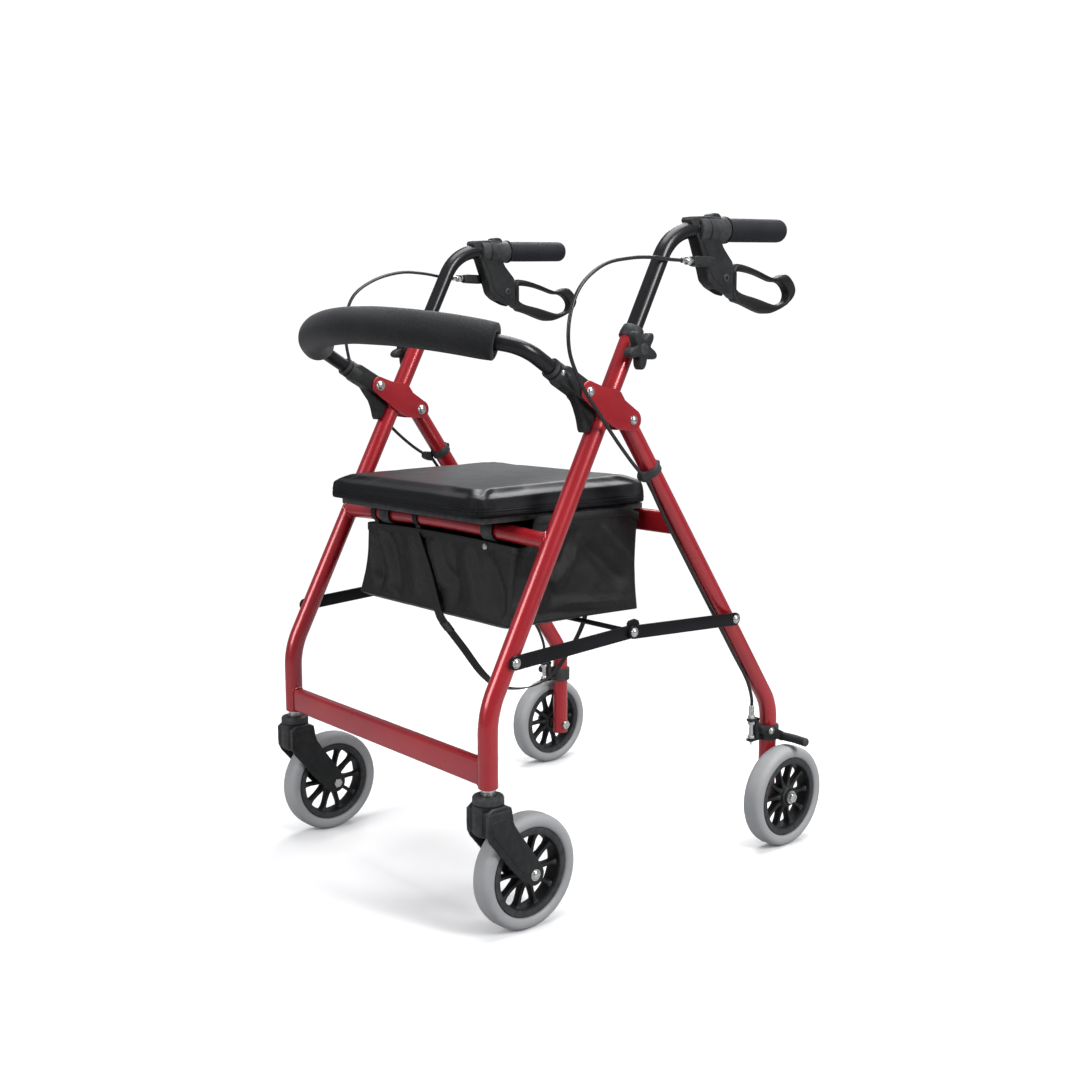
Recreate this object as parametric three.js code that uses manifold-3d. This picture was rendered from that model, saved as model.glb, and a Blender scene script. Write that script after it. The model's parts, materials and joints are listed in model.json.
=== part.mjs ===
// A four-wheeled folding walker with a seat, a bag, a backrest and hand brakes.
// Millimetres, +Z up, the user walks towards -Y, +X is the user's left.
import * as THREE from "three";
import { mergeVertices } from "three/addons/utils/BufferGeometryUtils.js";
import Module from "manifold-3d";

const wasm = await Module();
wasm.setup();

// ---------------------------------------------------------------- driving dimensions
const GAP = 0.3; // between pieces that touch
const ORIGIN_Y = 272.3; // the origin lies this far behind the caster stems, at the middle of the length

const LEG_X = 235; // side frames, from the middle
const LEG_R = 12.7;
const LEG_BORE = 11.4;
const LEG_SIDES = 16;
const LEAN = THREE.MathUtils.degToRad(27.5); // front legs and handle tubes, from upright
const LEG_TOP = { y: 235.2, z: 748 };
const STEM_Y = -3;
const LEG_FOOT_Z = 196;
const LEG_BEND = 110;

const PIVOT = { y: 226, z: 641 }; // the fold hinge
const REAR_SLOPE = 0.705; // the rear legs go back this much for each millimetre down
const REAR_Y = 531;
const REAR_FOOT_Z = 60;

const WHEEL_R = 75;
const TYRE_W = 31;
const TYRE_INNER_R = 58.5;
const RIM_R = 58;
const RIM_INNER_R = 48;
const RIM_W = 26;
const SPOKES = 10;
const TRAIL = 58; // front axle behind its stem
const FRONT_AXLE_Y = STEM_Y + TRAIL;
const REAR_WHEEL_X = 266;

const TUBE_R = 11; // handle tubes and the upper cross tube
const TUBE_BORE = 9.4;
const HANDLE_INSERT = 200; // handle tube inside the leg
const HANDLE_CORNER = 157; // from the leg top to the corner of the bend
const HANDLE_BEND = 72;
const HANDLE_RISE = THREE.MathUtils.degToRad(3);
const HANDLE_LENGTH = 218; // from the corner to the tube's end
const GRIP_START = 101;
const GRIP_END = 223;
const GRIP_R = 16;

const CROSS_Y = 100; // the upper cross tube, the seat's hinge
const CROSS_Z = 492;
const CROSS_ARCH = 6;

const PAD_HALF = 204; // backrest pad, half width
const PAD_SAG = 72; // the pad's middle is this far in front of its ends
const PAD_END = { y: 34, z: 740 };
const PAD_RISE = 22;
const PAD_R = 24;
const BACK_TUBE_R = 10;
const BACK_TUBE_BORE = 8.7;
const BACK_PIVOT = { y: 150, z: 679 };

const STRUT_A = { y: 28.5, z: 351 };
const STRUT_B = { y: 226, z: 363 };
const STRUT_C = { y: 428, z: 354 };

const SEAT_HALF = 180;
const SEAT_FRONT = 33;
const SEAT_REAR = 341;
const SEAT_BOTTOM = 520;
const SEAT_THICK = 32;

const BAG_HALF = 177;
const LEVER_PIVOT = { y: 405, z: 828 };
const PIN_HOLE_R = 4.6; // round a pin of radius 4
const SHOE_PIVOT = { y: 514, z: 174 };
const KNOB_BELOW_TOP = 19;
const ADJUSTER = { x: 250.5, y: 311, z: 847 }; // where the brake cable leaves the lever
const NOSE_Y = 332; // the housing's nose, which holds the adjuster

// ---------------------------------------------------------------- materials
const paint = (color, roughness, metalness = 0) =>
  new THREE.MeshStandardMaterial({ color, roughness, metalness });
const MATERIAL = {
  red: paint(0x9c1c26, 0.3, 0.3),
  blackTube: paint(0x141416, 0.25, 0.4),
  plastic: paint(0x202224, 0.6),
  foam: paint(0x242628, 0.9),
  vinyl: paint(0x1a1c20, 0.4),
  nylon: paint(0x17181a, 0.8),
  tyre: paint(0x9b9c9d, 0.8),
  steel: paint(0xc8c8c6, 0.3, 0.9),
};

// ---------------------------------------------------------------- geometry helpers
const vec = (x, y, z) => new THREE.Vector3(x, y, z);

function solid(geometry) {
  const plain = new THREE.BufferGeometry();
  plain.setAttribute("position", geometry.getAttribute("position"));
  if (geometry.index) plain.setIndex(geometry.index);
  const merged = mergeVertices(plain, 1e-3);
  const vertProperties = new Float32Array(merged.getAttribute("position").array);
  const triVerts = new Uint32Array(merged.index.array);
  const make = () => new wasm.Manifold(new wasm.Mesh({ numProp: 3, vertProperties, triVerts }));
  const made = make();
  if (made.volume() > 0) return made;
  triVerts.reverse(); // turns every face round
  return make();
}

const join = (...solids) => solids.reduce((all, next) => all.add(next));
const cut = (body, ...tools) => tools.reduce((left, tool) => left.subtract(tool), body);

// A path with one ring of the swept section at each of its points.
class Route extends THREE.Curve {
  constructor(points) {
    super();
    this.points = points;
  }
  getPoint(t, target = new THREE.Vector3()) {
    const at = t * (this.points.length - 1);
    const i = Math.min(Math.floor(at), this.points.length - 2);
    return target.lerpVectors(this.points[i], this.points[i + 1], at - i);
  }
  getPointAt(t, target) {
    return this.getPoint(t, target);
  }
  getTangentAt(t, target = new THREE.Vector3()) {
    const last = this.points.length - 1;
    const i = Math.round(t * last);
    const here = this.points[i];
    target.set(0, 0, 0);
    if (i > 0) target.add(here.clone().sub(this.points[i - 1]).normalize());
    if (i < last) target.add(this.points[i + 1].clone().sub(here).normalize());
    return target.normalize();
  }
}

// The points of a line through corners, each corner rounded by an arc.
function bent(corners, radius, steps) {
  const points = [corners[0]];
  for (let i = 1; i < corners.length - 1; i++) {
    const back = corners[i - 1].clone().sub(corners[i]).normalize();
    const on = corners[i + 1].clone().sub(corners[i]).normalize();
    const half = back.angleTo(on) / 2;
    const inward = back.clone().add(on).normalize();
    const centre = corners[i].clone().addScaledVector(inward, radius / Math.sin(half));
    const start = corners[i].clone().addScaledVector(back, radius / Math.tan(half)).sub(centre);
    const end = corners[i].clone().addScaledVector(on, radius / Math.tan(half)).sub(centre);
    const axis = start.clone().cross(end).normalize();
    const turn = start.angleTo(end);
    for (let k = 0; k <= steps; k++) {
      points.push(start.clone().applyAxisAngle(axis, (turn * k) / steps).add(centre));
    }
  }
  points.push(corners[corners.length - 1]);
  return points;
}

const ring = (radius, sides) =>
  Array.from({ length: sides }, (_, i) => {
    const a = ((i + 0.5) * 2 * Math.PI) / sides;
    return new THREE.Vector2(radius * Math.cos(a), radius * Math.sin(a));
  });

function sweep(section, points) {
  const steps = points.length - 1;
  const extrudePath = new Route(points);
  return solid(new THREE.ExtrudeGeometry(section, { steps, extrudePath, bevelEnabled: false }));
}

function pipe(points, radius, sides, bore = 0, boreSides = 12) {
  const section = new THREE.Shape(ring(radius, sides));
  if (bore) section.holes.push(new THREE.Path(ring(bore, boreSides)));
  return sweep(section, points);
}

// A round bar between two points.
const bar = (from, to, radius, sides = 12) => pipe([from, to], radius, sides);
const barX = (xFrom, xTo, at, radius, sides = 8) =>
  bar(vec(xFrom, at.y, at.z), vec(xTo, at.y, at.z), radius, sides);

// An outline in (y, z) given a thickness along x.
function slab(shape, xFrom, xTo, curveSegments = 3) {
  const depth = Math.abs(xTo - xFrom);
  const g = new THREE.ExtrudeGeometry(shape, { depth, bevelEnabled: false, curveSegments });
  g.applyMatrix4(new THREE.Matrix4().makeBasis(vec(0, 1, 0), vec(0, 0, 1), vec(1, 0, 0)));
  g.translate(Math.min(xFrom, xTo), 0, 0);
  return solid(g);
}

function outline(...points) {
  const flat = points.map(([y, z]) => new THREE.Vector2(y, z));
  return new THREE.Shape(THREE.ShapeUtils.isClockWise(flat) ? flat.reverse() : flat);
}

function stadium(a, b, radius) {
  const angle = Math.atan2(b.z - a.z, b.y - a.y);
  const shape = new THREE.Shape();
  shape.absarc(b.y, b.z, radius, angle - Math.PI / 2, angle + Math.PI / 2);
  shape.absarc(a.y, a.z, radius, angle + Math.PI / 2, angle + (3 * Math.PI) / 2);
  return shape;
}

function box(x0, x1, y0, y1, z0, z1) {
  const g = new THREE.BoxGeometry(Math.abs(x1 - x0), y1 - y0, z1 - z0);
  return solid(g.translate((x0 + x1) / 2, (y0 + y1) / 2, (z0 + z1) / 2));
}

// A turned piece. Its profile is (radius, distance along the axis from `at`).
function turned(profile, at, direction, sides) {
  const g = new THREE.LatheGeometry(profile.map(([r, d]) => new THREE.Vector2(r, d)), sides);
  g.applyQuaternion(new THREE.Quaternion().setFromUnitVectors(vec(0, 1, 0), direction));
  return solid(g.translate(at.x, at.y, at.z));
}

function roundedRect(x0, x1, y0, y1, r) {
  const shape = new THREE.Shape();
  shape.absarc(x1 - r, y0 + r, r, -Math.PI / 2, 0);
  shape.absarc(x1 - r, y1 - r, r, 0, Math.PI / 2);
  shape.absarc(x0 + r, y1 - r, r, Math.PI / 2, Math.PI);
  shape.absarc(x0 + r, y0 + r, r, Math.PI, (3 * Math.PI) / 2);
  return shape;
}

// ---------------------------------------------------------------- the assembly
const walker = new THREE.Group();
const frame = new THREE.Group();
frame.position.y = -ORIGIN_Y;
walker.add(frame);

function add(name, body, material) {
  const { numProp, vertProperties, triVerts } = body.getMesh();
  const g = new THREE.BufferGeometry();
  const position = new Float32Array((vertProperties.length / numProp) * 3);
  for (let i = 0; i < position.length / 3; i++) {
    position.set(vertProperties.subarray(i * numProp, i * numProp + 3), i * 3);
  }
  g.setAttribute("position", new THREE.BufferAttribute(position, 3));
  g.setIndex(new THREE.BufferAttribute(new Uint32Array(triVerts), 1));
  g.computeVertexNormals();
  const mesh = new THREE.Mesh(g, material.clone());
  mesh.name = name;
  frame.add(mesh);
}

// A point on the front leg's line, `along` millimetres above the leg's top.
const onLeg = (x, along) =>
  vec(x, LEG_TOP.y + along * Math.sin(LEAN), LEG_TOP.z + along * Math.cos(LEAN));
const rearY = (z) => PIVOT.y + (PIVOT.z - z) * REAR_SLOPE;
const rearTurn = Math.atan(REAR_SLOPE);

function frontLegPath(x) {
  const corner = vec(x, STEM_Y, LEG_TOP.z - (LEG_TOP.y - STEM_Y) / Math.tan(LEAN));
  return bent([vec(x, STEM_Y, LEG_FOOT_Z), corner, onLeg(x, 0)], LEG_BEND, 4);
}

function rearLegPath(x) {
  const above = LEG_R;
  const top = vec(x, PIVOT.y - above * Math.sin(rearTurn), PIVOT.z + above * Math.cos(rearTurn));
  const corner = vec(x, REAR_Y, PIVOT.z - (REAR_Y - PIVOT.y) / REAR_SLOPE);
  return bent([top, corner, vec(x, REAR_Y, REAR_FOOT_Z)], 70, 4);
}

function handlePath(x) {
  const corner = onLeg(x, HANDLE_CORNER);
  const along = vec(0, Math.cos(HANDLE_RISE), Math.sin(HANDLE_RISE));
  const end = corner.clone().addScaledVector(along, HANDLE_LENGTH);
  return bent([onLeg(x, -HANDLE_INSERT), corner, end], HANDLE_BEND, 6);
}

const legCope = (path) => pipe(path, LEG_R + 0.45, LEG_SIDES);

function frontLeg(side, name) {
  const x = side * LEG_X;
  const path = frontLegPath(x);
  const tube = pipe(path, LEG_R, LEG_SIDES, LEG_BORE, 14);
  const knobAt = onLeg(x, -KNOB_BELOW_TOP);
  const knobHole = barX(x + side * 5, x + side * 20, knobAt, PIN_HOLE_R);
  const strutHole = barX(x + side * 5, x + side * 20, STRUT_A, PIN_HOLE_R);
  add(name, cut(tube, knobHole, strutHole), MATERIAL.red);
}

function sidePlate(side, name) {
  const x = side * LEG_X;
  const near = LEG_R + 0.6;
  const far = near + 3;
  const body = outline(
    [150, 692], [170, 685], [199, 681], [210, 667], [221, 659], [234, 653],
    [236, 630], [224, 627.5], [204, 629.5], [182, 638], [160, 654], [143, 668],
  );
  const plate = (a, b) => join(slab(stadium(BACK_PIVOT, PIVOT, 14), a, b), slab(body, a, b));
  const web = slab(outline([207, 663], [212, 659.5], [214.5, 662], [209.5, 667]), x - near - 1, x + near + 1);
  const pair = join(plate(x - far, x - near), plate(x + near, x + far), web);
  const holes = [BACK_PIVOT, PIVOT].map((at) => barX(x - 20, x + 20, at, PIN_HOLE_R));
  add(name, cut(pair, ...holes), MATERIAL.red);
}

function pivotBolt(side, name) {
  const x = side * LEG_X;
  const shank = barX(x - 20.6, x + 20.6, PIVOT, 4);
  const heads = [-1, 1].map((end) => barX(x + end * 16.6, x + end * 20.6, PIVOT, 7));
  add(name, join(shank, ...heads), MATERIAL.steel);
}

function collar(side, name) {
  const profile = [
    [11.6, GAP], [11.6, 12], [13.6, 12], [15.6, 3], [15.6, -4], [13.15, -4], [13.15, GAP], [11.6, GAP],
  ];
  const direction = vec(0, Math.sin(LEAN), Math.cos(LEAN));
  add(name, turned(profile.reverse(), onLeg(side * LEG_X, 0), direction, LEG_SIDES), MATERIAL.plastic);
}

function starKnob(side, name) {
  const x = side * LEG_X;
  const at = onLeg(x, -KNOB_BELOW_TOP);
  const star = new THREE.Shape(
    Array.from({ length: 30 }, (_, i) => {
      const a = (i * 2 * Math.PI) / 30;
      const r = 18.5 + 7 * Math.cos(5 * a);
      return new THREE.Vector2(at.y + r * Math.cos(a), at.z + r * Math.sin(a));
    }),
  );
  const head = slab(star, x + side * 20, x + side * 34);
  const boss = barX(x + side * 13.2, x + side * 21, at, 8);
  const screw = barX(x + side * 11.4, x + side * 14, at, 4);
  add(name, join(head, boss, screw), MATERIAL.plastic);
}

function handleTube(side, name) {
  add(name, pipe(handlePath(side * LEG_X), TUBE_R, LEG_SIDES, TUBE_BORE, 10), MATERIAL.blackTube);
}

function handGrip(side, name) {
  const along = vec(0, Math.cos(HANDLE_RISE), Math.sin(HANDLE_RISE));
  const start = onLeg(side * LEG_X, HANDLE_CORNER).addScaledVector(along, GRIP_START);
  const long = GRIP_END - GRIP_START;
  const profile = [
    [0, long - 4], [11.5, long - 4], [11.5, 0], [18, 0], [18, 3], [GRIP_R, 4],
    [GRIP_R, long - 7], [GRIP_R - 5, long], [0, long],
  ];
  add(name, turned(profile, start, along, 16), MATERIAL.foam);
}

function leverHousing(side, name) {
  const x = side * LEG_X;
  const body = outline(
    [333, 905], [380, 908], [399, 909], [397.5, 878], [402, 868], [413, 858], [420.5, 850], [423, 836],
    [423, 818], [419, 804], [404, 807], [382, 815], [371, 824], [366, 838], [357, 857], [349, 879],
  );
  const ridge = outline([376, 905], [381, 912], [393, 912], [398.5, 905]);
  const grasp = handlePath(x).slice(-2);
  const along = grasp[1].clone().sub(grasp[0]).normalize();
  const clampStart = onLeg(x, HANDLE_CORNER).addScaledVector(along, 45);
  const clampEnd = onLeg(x, HANDLE_CORNER).addScaledVector(along, GRIP_START - GAP);
  const nose = box(x + side * 8, x + side * 21, NOSE_Y, 372, ADJUSTER.z - 7, ADJUSTER.z + 7);
  const shell = join(
    slab(body, x - 10, x + 10),
    nose,
    slab(ridge, x - 8, x + 8),
    bar(clampStart, clampEnd, 17.5, 14),
  );
  const slot = box(x - 6.4, x + 6.4, 388, 440, 780, 856);
  const pin = barX(x - 20, x + 20, LEVER_PIVOT, PIN_HOLE_R);
  const tube = pipe(handlePath(x).slice(1), TUBE_R + 0.7, 12);
  add(name, cut(shell, tube, slot, pin), MATERIAL.plastic);
}

function brakeLever(side, name) {
  const x = side * LEG_X;
  const loop = outline(
    [427, 849.5], [447, 848.5], [479, 841.5], [500, 835], [512, 832.5], [521, 833.5], [532, 838], [542, 839], [551, 833.5],
    [559, 825], [562, 815.5], [556, 804.5], [539, 793.5], [522, 787], [506, 782.5], [490, 782.5], [470, 788],
    [449, 794.5], [427, 799.5],
  );
  loop.holes.push(
    new THREE.Path(
      [
        [433, 838], [450, 839], [474, 835.5], [494, 829], [508, 825.5], [519, 825.5], [530, 828], [541, 822],
        [545, 811], [538, 799], [520, 794], [497, 797], [475, 803], [450, 808], [436, 813], [432, 824],
      ].map(([y, z]) => new THREE.Vector2(y, z)),
    ),
  );
  const root = outline([398, 835], [424, 845], [430, 840], [430, 808], [424, 801], [400, 819]);
  const lever = join(
    slab(loop, x - 9, x + 9),
    slab(root, x - 5.8, x + 5.8),
    barX(x - 5.8, x + 5.8, LEVER_PIVOT, 10),
    barX(x - 10.4, x + 10.4, LEVER_PIVOT, 4),
  );
  add(name, lever, MATERIAL.plastic);
}

function cableAdjuster(side, name) {
  const x = side * ADJUSTER.x;
  const barrel = bar(vec(x, ADJUSTER.y + GAP, ADJUSTER.z), vec(x, NOSE_Y - GAP, ADJUSTER.z), 3.5, 10);
  const nut = bar(vec(x, ADJUSTER.y + 9, ADJUSTER.z), vec(x, ADJUSTER.y + 17, ADJUSTER.z), 5.5, 6);
  add(name, join(barrel, nut), MATERIAL.steel);
}

function rearLeg(side, name) {
  const x = side * LEG_X;
  const tube = pipe(rearLegPath(x), LEG_R, LEG_SIDES, LEG_BORE, 8);
  const pivotHole = barX(x - 20, x + 20, PIVOT, PIN_HOLE_R);
  const strutHole = barX(x + side * 5, x + side * 20, STRUT_C, PIN_HOLE_R);
  const axleHole = barX(x - 20, x + 20, { y: REAR_Y, z: WHEEL_R }, 5.6);
  add(name, cut(tube, pivotHole, strutHole, axleHole), MATERIAL.red);
}

function brakeBracket(side, name) {
  const x = side * LEG_X;
  const sleeve = pipe([vec(x, REAR_Y, 156), vec(x, REAR_Y, 177)], 16.4, LEG_SIDES, 13.5, LEG_SIDES);
  const lug = box(x - 4, x + 4, 488, REAR_Y - 13.6, 158, 162);
  const upperLug = box(x - 4, x + 4, 488, 505, 188, 192);
  const cheek = box(x - 4, x + 4, 500, 505, 158, 192);
  const barrel = bar(vec(x, 493, 155), vec(x, 493, 212), 4, 8);
  const arm = box(x, x + side * 17.5, 510, 517, 168, 177);
  const pin = barX(x + side * 15, x + side * 22, SHOE_PIVOT, 4);
  const boss = barX(x + side * 15, x + side * 17.5, SHOE_PIVOT, 7);
  const whole = join(sleeve, lug, upperLug, cheek, barrel, arm, boss, pin);
  add(name, whole, MATERIAL.plastic);
}

function brakeShoe(side, name) {
  const x = side * LEG_X;
  const bar0 = { y: 541, z: 160.5 };
  const arm = slab(stadium(SHOE_PIVOT, bar0, 7), x + side * 18, x + side * 21);
  const shoe = barX(x + side * 18, x + side * 66, bar0, 6.5);
  const hole = barX(x + side * 15, x + side * 25, SHOE_PIVOT, PIN_HOLE_R);
  add(name, cut(join(arm, shoe), hole), MATERIAL.plastic);
}

function wheel(side, centreX, centreY, coreHalf, bore, hubName, tyreName) {
  const at = { y: centreY, z: WHEEL_R };
  const rimProfile = [
    [RIM_INNER_R, -RIM_W / 2], [RIM_R, -RIM_W / 2], [RIM_R, RIM_W / 2], [RIM_INNER_R, RIM_W / 2],
    [RIM_INNER_R, -RIM_W / 2],
  ];
  const rim = turned(rimProfile, vec(centreX, at.y, at.z), vec(1, 0, 0), 24);
  const spokes = Array.from({ length: SPOKES }, (_, i) => {
    const g = new THREE.BoxGeometry(12, 6, RIM_INNER_R - 8);
    g.translate(0, 0, (RIM_INNER_R + 10) / 2);
    g.rotateX(((i + 0.5) * 2 * Math.PI) / SPOKES);
    return solid(g.translate(centreX, at.y, at.z));
  });
  const core = barX(centreX - coreHalf, centreX + coreHalf, at, 15, 10);
  const hub = join(rim, core, ...spokes);
  add(hubName, cut(hub, barX(centreX - 30, centreX + 30, at, bore)), MATERIAL.plastic);
  const half = TYRE_W / 2;
  const tyreProfile = [
    [TYRE_INNER_R, -half + 3], [WHEEL_R - 7, -half], [WHEEL_R, -half + 8],
    [WHEEL_R, half - 8], [WHEEL_R - 7, half], [TYRE_INNER_R, half - 3], [TYRE_INNER_R, -half + 3],
  ];
  const tyre = turned(tyreProfile, vec(centreX, at.y, at.z), vec(1, 0, 0), 32);
  add(tyreName, tyre, MATERIAL.tyre);
}

function rearAxle(side, name) {
  const x = side * LEG_X;
  const at = { y: REAR_Y, z: WHEEL_R };
  const shank = barX(x - side * 17, x + side * 52, at, 5);
  const head = barX(x - side * 18, x - side * 13.1, at, 8, 6);
  const nut = barX(x + side * 47.6, x + side * 53, at, 8, 6);
  add(name, join(shank, head, nut), MATERIAL.steel);
}

function casterStem(side, name) {
  const x = side * LEG_X;
  const plug = bar(vec(x, STEM_Y, LEG_FOOT_Z + GAP), vec(x, STEM_Y, 225), 11, 16);
  const pin = bar(vec(x, STEM_Y, 152), vec(x, STEM_Y, LEG_FOOT_Z + 2), 6, 12);
  const collarRing = bar(vec(x, STEM_Y, 188), vec(x, STEM_Y, 195.7), 9, 12);
  add(name, join(plug, pin, collarRing), MATERIAL.steel);
}

function casterFork(side, name) {
  const x = side * LEG_X;
  const axle = { y: FRONT_AXLE_Y, z: WHEEL_R };
  const housing = bar(vec(x, STEM_Y, 136), vec(x, STEM_Y, 187), 20, 18);
  const bladeShape = outline([-21, 160], [-21, 139], [-8, 124], [40, 62], [68, 70], [68, 82], [17, 150], [16, 168]);
  const blade = (a, b) => join(slab(bladeShape, a, b), slab(stadium(axle, axle, 15), a, b));
  const crown = slab(outline([-20, 186], [-20, 136], [24, 136], [19, 160], [17, 186]), x - 22, x + 22);
  const blades = [blade(x - 22, x - 17.5), blade(x + 17.5, x + 22)];
  const wheelSpace = barX(x - 17.5, x + 17.5, axle, WHEEL_R + 5, 24);
  const socket = bar(vec(x, STEM_Y, 148), vec(x, STEM_Y, 190), 6.5, 12);
  const trim = crown.intersect(bar(vec(x, STEM_Y, 130), vec(x, STEM_Y, 190), 30, 18));
  const whole = cut(join(housing, trim, ...blades), wheelSpace, socket, barX(x - 30, x + 30, axle, PIN_HOLE_R));
  add(name, whole, MATERIAL.plastic);
}

function frontAxle(side, name) {
  const x = side * LEG_X;
  const at = { y: FRONT_AXLE_Y, z: WHEEL_R };
  const shank = barX(x - 25, x + 25, at, 4);
  const heads = [-1, 1].map((end) => barX(x + end * 22.3, x + end * 26, at, 7, 6));
  add(name, join(shank, ...heads), MATERIAL.steel);
}

function frontStrut(side, name) {
  const x = side * LEG_X;
  const plate = slab(stadium(STRUT_A, STRUT_B, 9), x + side * 13.4, x + side * 17.4);
  const stop = slab(outline([218, 365], [218, 377], [234, 379], [240, 374], [234, 365]), x + side * 13.4, x + side * 17.4);
  const pin = barX(x + side * 7, x + side * 15, STRUT_A, 4);
  const head = barX(x + side * 17, x + side * 21, STRUT_A, 7);
  add(name, join(plate, stop, pin, head), MATERIAL.blackTube);
}

function rearStrut(side, name) {
  const x = side * LEG_X;
  const plate = slab(stadium(STRUT_B, STRUT_C, 9), x + side * 17.8, x + side * 21.8);
  const spacer = barX(x + side * 13.2, x + side * 18, STRUT_C, 7);
  const pin = barX(x + side * 7, x + side * 15, STRUT_C, 4);
  const heads = [STRUT_B, STRUT_C].map((at) => barX(x + side * 21.5, x + side * 25.5, at, 7));
  add(name, join(plate, spacer, pin, ...heads), MATERIAL.blackTube);
}

function hingeBlock(side, name) {
  const x = side * LEG_X;
  const half = 12.8;
  const front = { y: 116, z: 698 };
  const foot = outline(
    [156.5, 627], [171, 655], [165, 670], [150, 684], [126, 684], [138, 662], [145, 646], [149, 627],
  );
  const body = join(
    slab(stadium(BACK_PIVOT, front, 13), x - half, x + half),
    slab(foot, x - 8, x + 8),
    barX(x - 20.6, x + 20.6, BACK_PIVOT, 4),
    barX(x - 20.6, x - 16.6, BACK_PIVOT, 7),
    barX(x + 16.6, x + 20.6, BACK_PIVOT, 7),
  );
  const path = backrestPath();
  const arm = side > 0 ? path.slice(-2) : path.slice(0, 2);
  const socket = pipe(arm, BACK_TUBE_R + 0.5, 12);
  add(name, cut(body, socket), MATERIAL.plastic);
}

// The backrest's tube: an arc across the front, with an arm back to each hinge block.
function padArc(steps) {
  const radius = (PAD_HALF ** 2 + PAD_SAG ** 2) / (2 * PAD_SAG);
  const half = Math.asin(PAD_HALF / radius);
  return Array.from({ length: steps + 1 }, (_, i) => {
    const a = half * ((2 * i) / steps - 1);
    const forward = PAD_SAG - radius * (1 - Math.cos(a));
    return vec(radius * Math.sin(a), PAD_END.y - forward, PAD_END.z + (PAD_RISE * forward) / PAD_SAG);
  });
}

function backrestPath() {
  const arc = padArc(10);
  const arm = (side) => {
    const end = arc[side < 0 ? 0 : arc.length - 1];
    const inner = arc[side < 0 ? 1 : arc.length - 2];
    const out = end.clone().sub(inner);
    const corner = end.clone().addScaledVector(out, (LEG_X - PAD_HALF) / Math.abs(out.x));
    return bent([inner, corner, vec(side * LEG_X, 130, 689)], 45, 3).slice(1);
  };
  return [...arm(-1).reverse(), ...arc.slice(1, -1), ...arm(1)];
}

function backrest() {
  add("backrest_tube", pipe(backrestPath(), BACK_TUBE_R, 12, BACK_TUBE_BORE, 8), MATERIAL.blackTube);
  add("backrest_pad", pipe(padArc(10), PAD_R, 12, BACK_TUBE_R + 0.8, 10), MATERIAL.foam);
}

function crossTubes() {
  const arch = Array.from({ length: 5 }, (_, i) => {
    const x = 228 * (i / 2 - 1);
    return vec(x, CROSS_Y, CROSS_Z + CROSS_ARCH * Math.cos((Math.PI * x) / 456));
  });
  const frontCopes = [-1, 1].map((side) => legCope(frontLegPath(side * LEG_X)));
  const rearCopes = [-1, 1].map((side) => legCope(rearLegPath(side * LEG_X)));
  const upper = pipe(arch, TUBE_R, 14, TUBE_BORE, 8);
  add("upper_cross_tube", cut(upper, ...frontCopes), MATERIAL.red);

  const flatBar = (half, y0, y1, z0, z1) => {
    const shape = roundedRect(y0, y1, z0, z1, 4);
    shape.holes.push(roundedRect(y0 + 1.5, y1 - 1.5, z0 + 1.5, z1 - 1.5, 2.5));
    return slab(shape, -half, half, 2);
  };
  add("lower_crossbar", cut(flatBar(230, -10.5, 4.5, 197, 231), ...frontCopes), MATERIAL.red);
  add("rear_crossbar", cut(flatBar(225, 324, 339, 481, 511), ...rearCopes), MATERIAL.red);
}

function seat() {
  const clip = (x) => {
    const z = CROSS_Z + CROSS_ARCH * Math.cos((Math.PI * x) / 456);
    const hook = barX(x - 12, x + 12, { y: CROSS_Y, z }, 15, 16);
    return join(hook, box(x - 12, x + 12, CROSS_Y - 13, CROSS_Y + 13, z, 514));
  };
  const board = box(-165, 165, 45, 330, 511.5, SEAT_BOTTOM - GAP);
  const tube = pipe([vec(-200, CROSS_Y, CROSS_Z + 1.5), vec(-120, CROSS_Y, CROSS_Z + 4.2), vec(0, CROSS_Y, CROSS_Z + 6),
    vec(120, CROSS_Y, CROSS_Z + 4.2), vec(200, CROSS_Y, CROSS_Z + 1.5)], TUBE_R + 1.1, 12);
  add("seat_board", cut(join(board, clip(-120), clip(120)), tube), MATERIAL.plastic);

  const bevel = 5;
  const shape = roundedRect(-SEAT_HALF + bevel, SEAT_HALF - bevel, SEAT_FRONT + bevel, SEAT_REAR - bevel, 16);
  const cushion = new THREE.ExtrudeGeometry(shape, {
    depth: SEAT_THICK - 2 * bevel,
    bevelThickness: bevel,
    bevelSize: bevel,
    bevelSegments: 1,
    curveSegments: 3,
  });
  add("seat_cushion", solid(cushion.translate(0, 0, SEAT_BOTTOM + bevel)), MATERIAL.vinyl);
}

function bag() {
  const wall = 3;
  const outer = outline([76, 373], [316, 368], [315, 508], [117, 508], [117, 478], [93, 478]);
  const inner = outline(
    [76 + wall, 373 + wall], [316 - wall, 368 + wall], [315 - wall, 520],
    [117 + wall, 520], [117 + wall, 478 - wall], [93 + wall, 478 - wall],
  );
  const shell = cut(slab(outer, -BAG_HALF, BAG_HALF), slab(inner, -BAG_HALF + wall, BAG_HALF - wall));
  add("bag", shell, MATERIAL.nylon);
}

// The bag's webbing strap: across the bag's front, down in a loop below it, and up its rear.
const STRAP_ROUTE = [
  [-42, 89, 474], [-3, 81.5, 424], [36, 73.5, 371], [42, 82, 347], [46, 119, 309], [48, 144, 277],
  [50, 174, 261], [52, 205, 254], [53, 232, 254], [56, 262, 266], [58, 290, 288], [60, 312, 316],
  [60, 320, 342], [60, 320, 372], [60, 319, 450],
];

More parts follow.
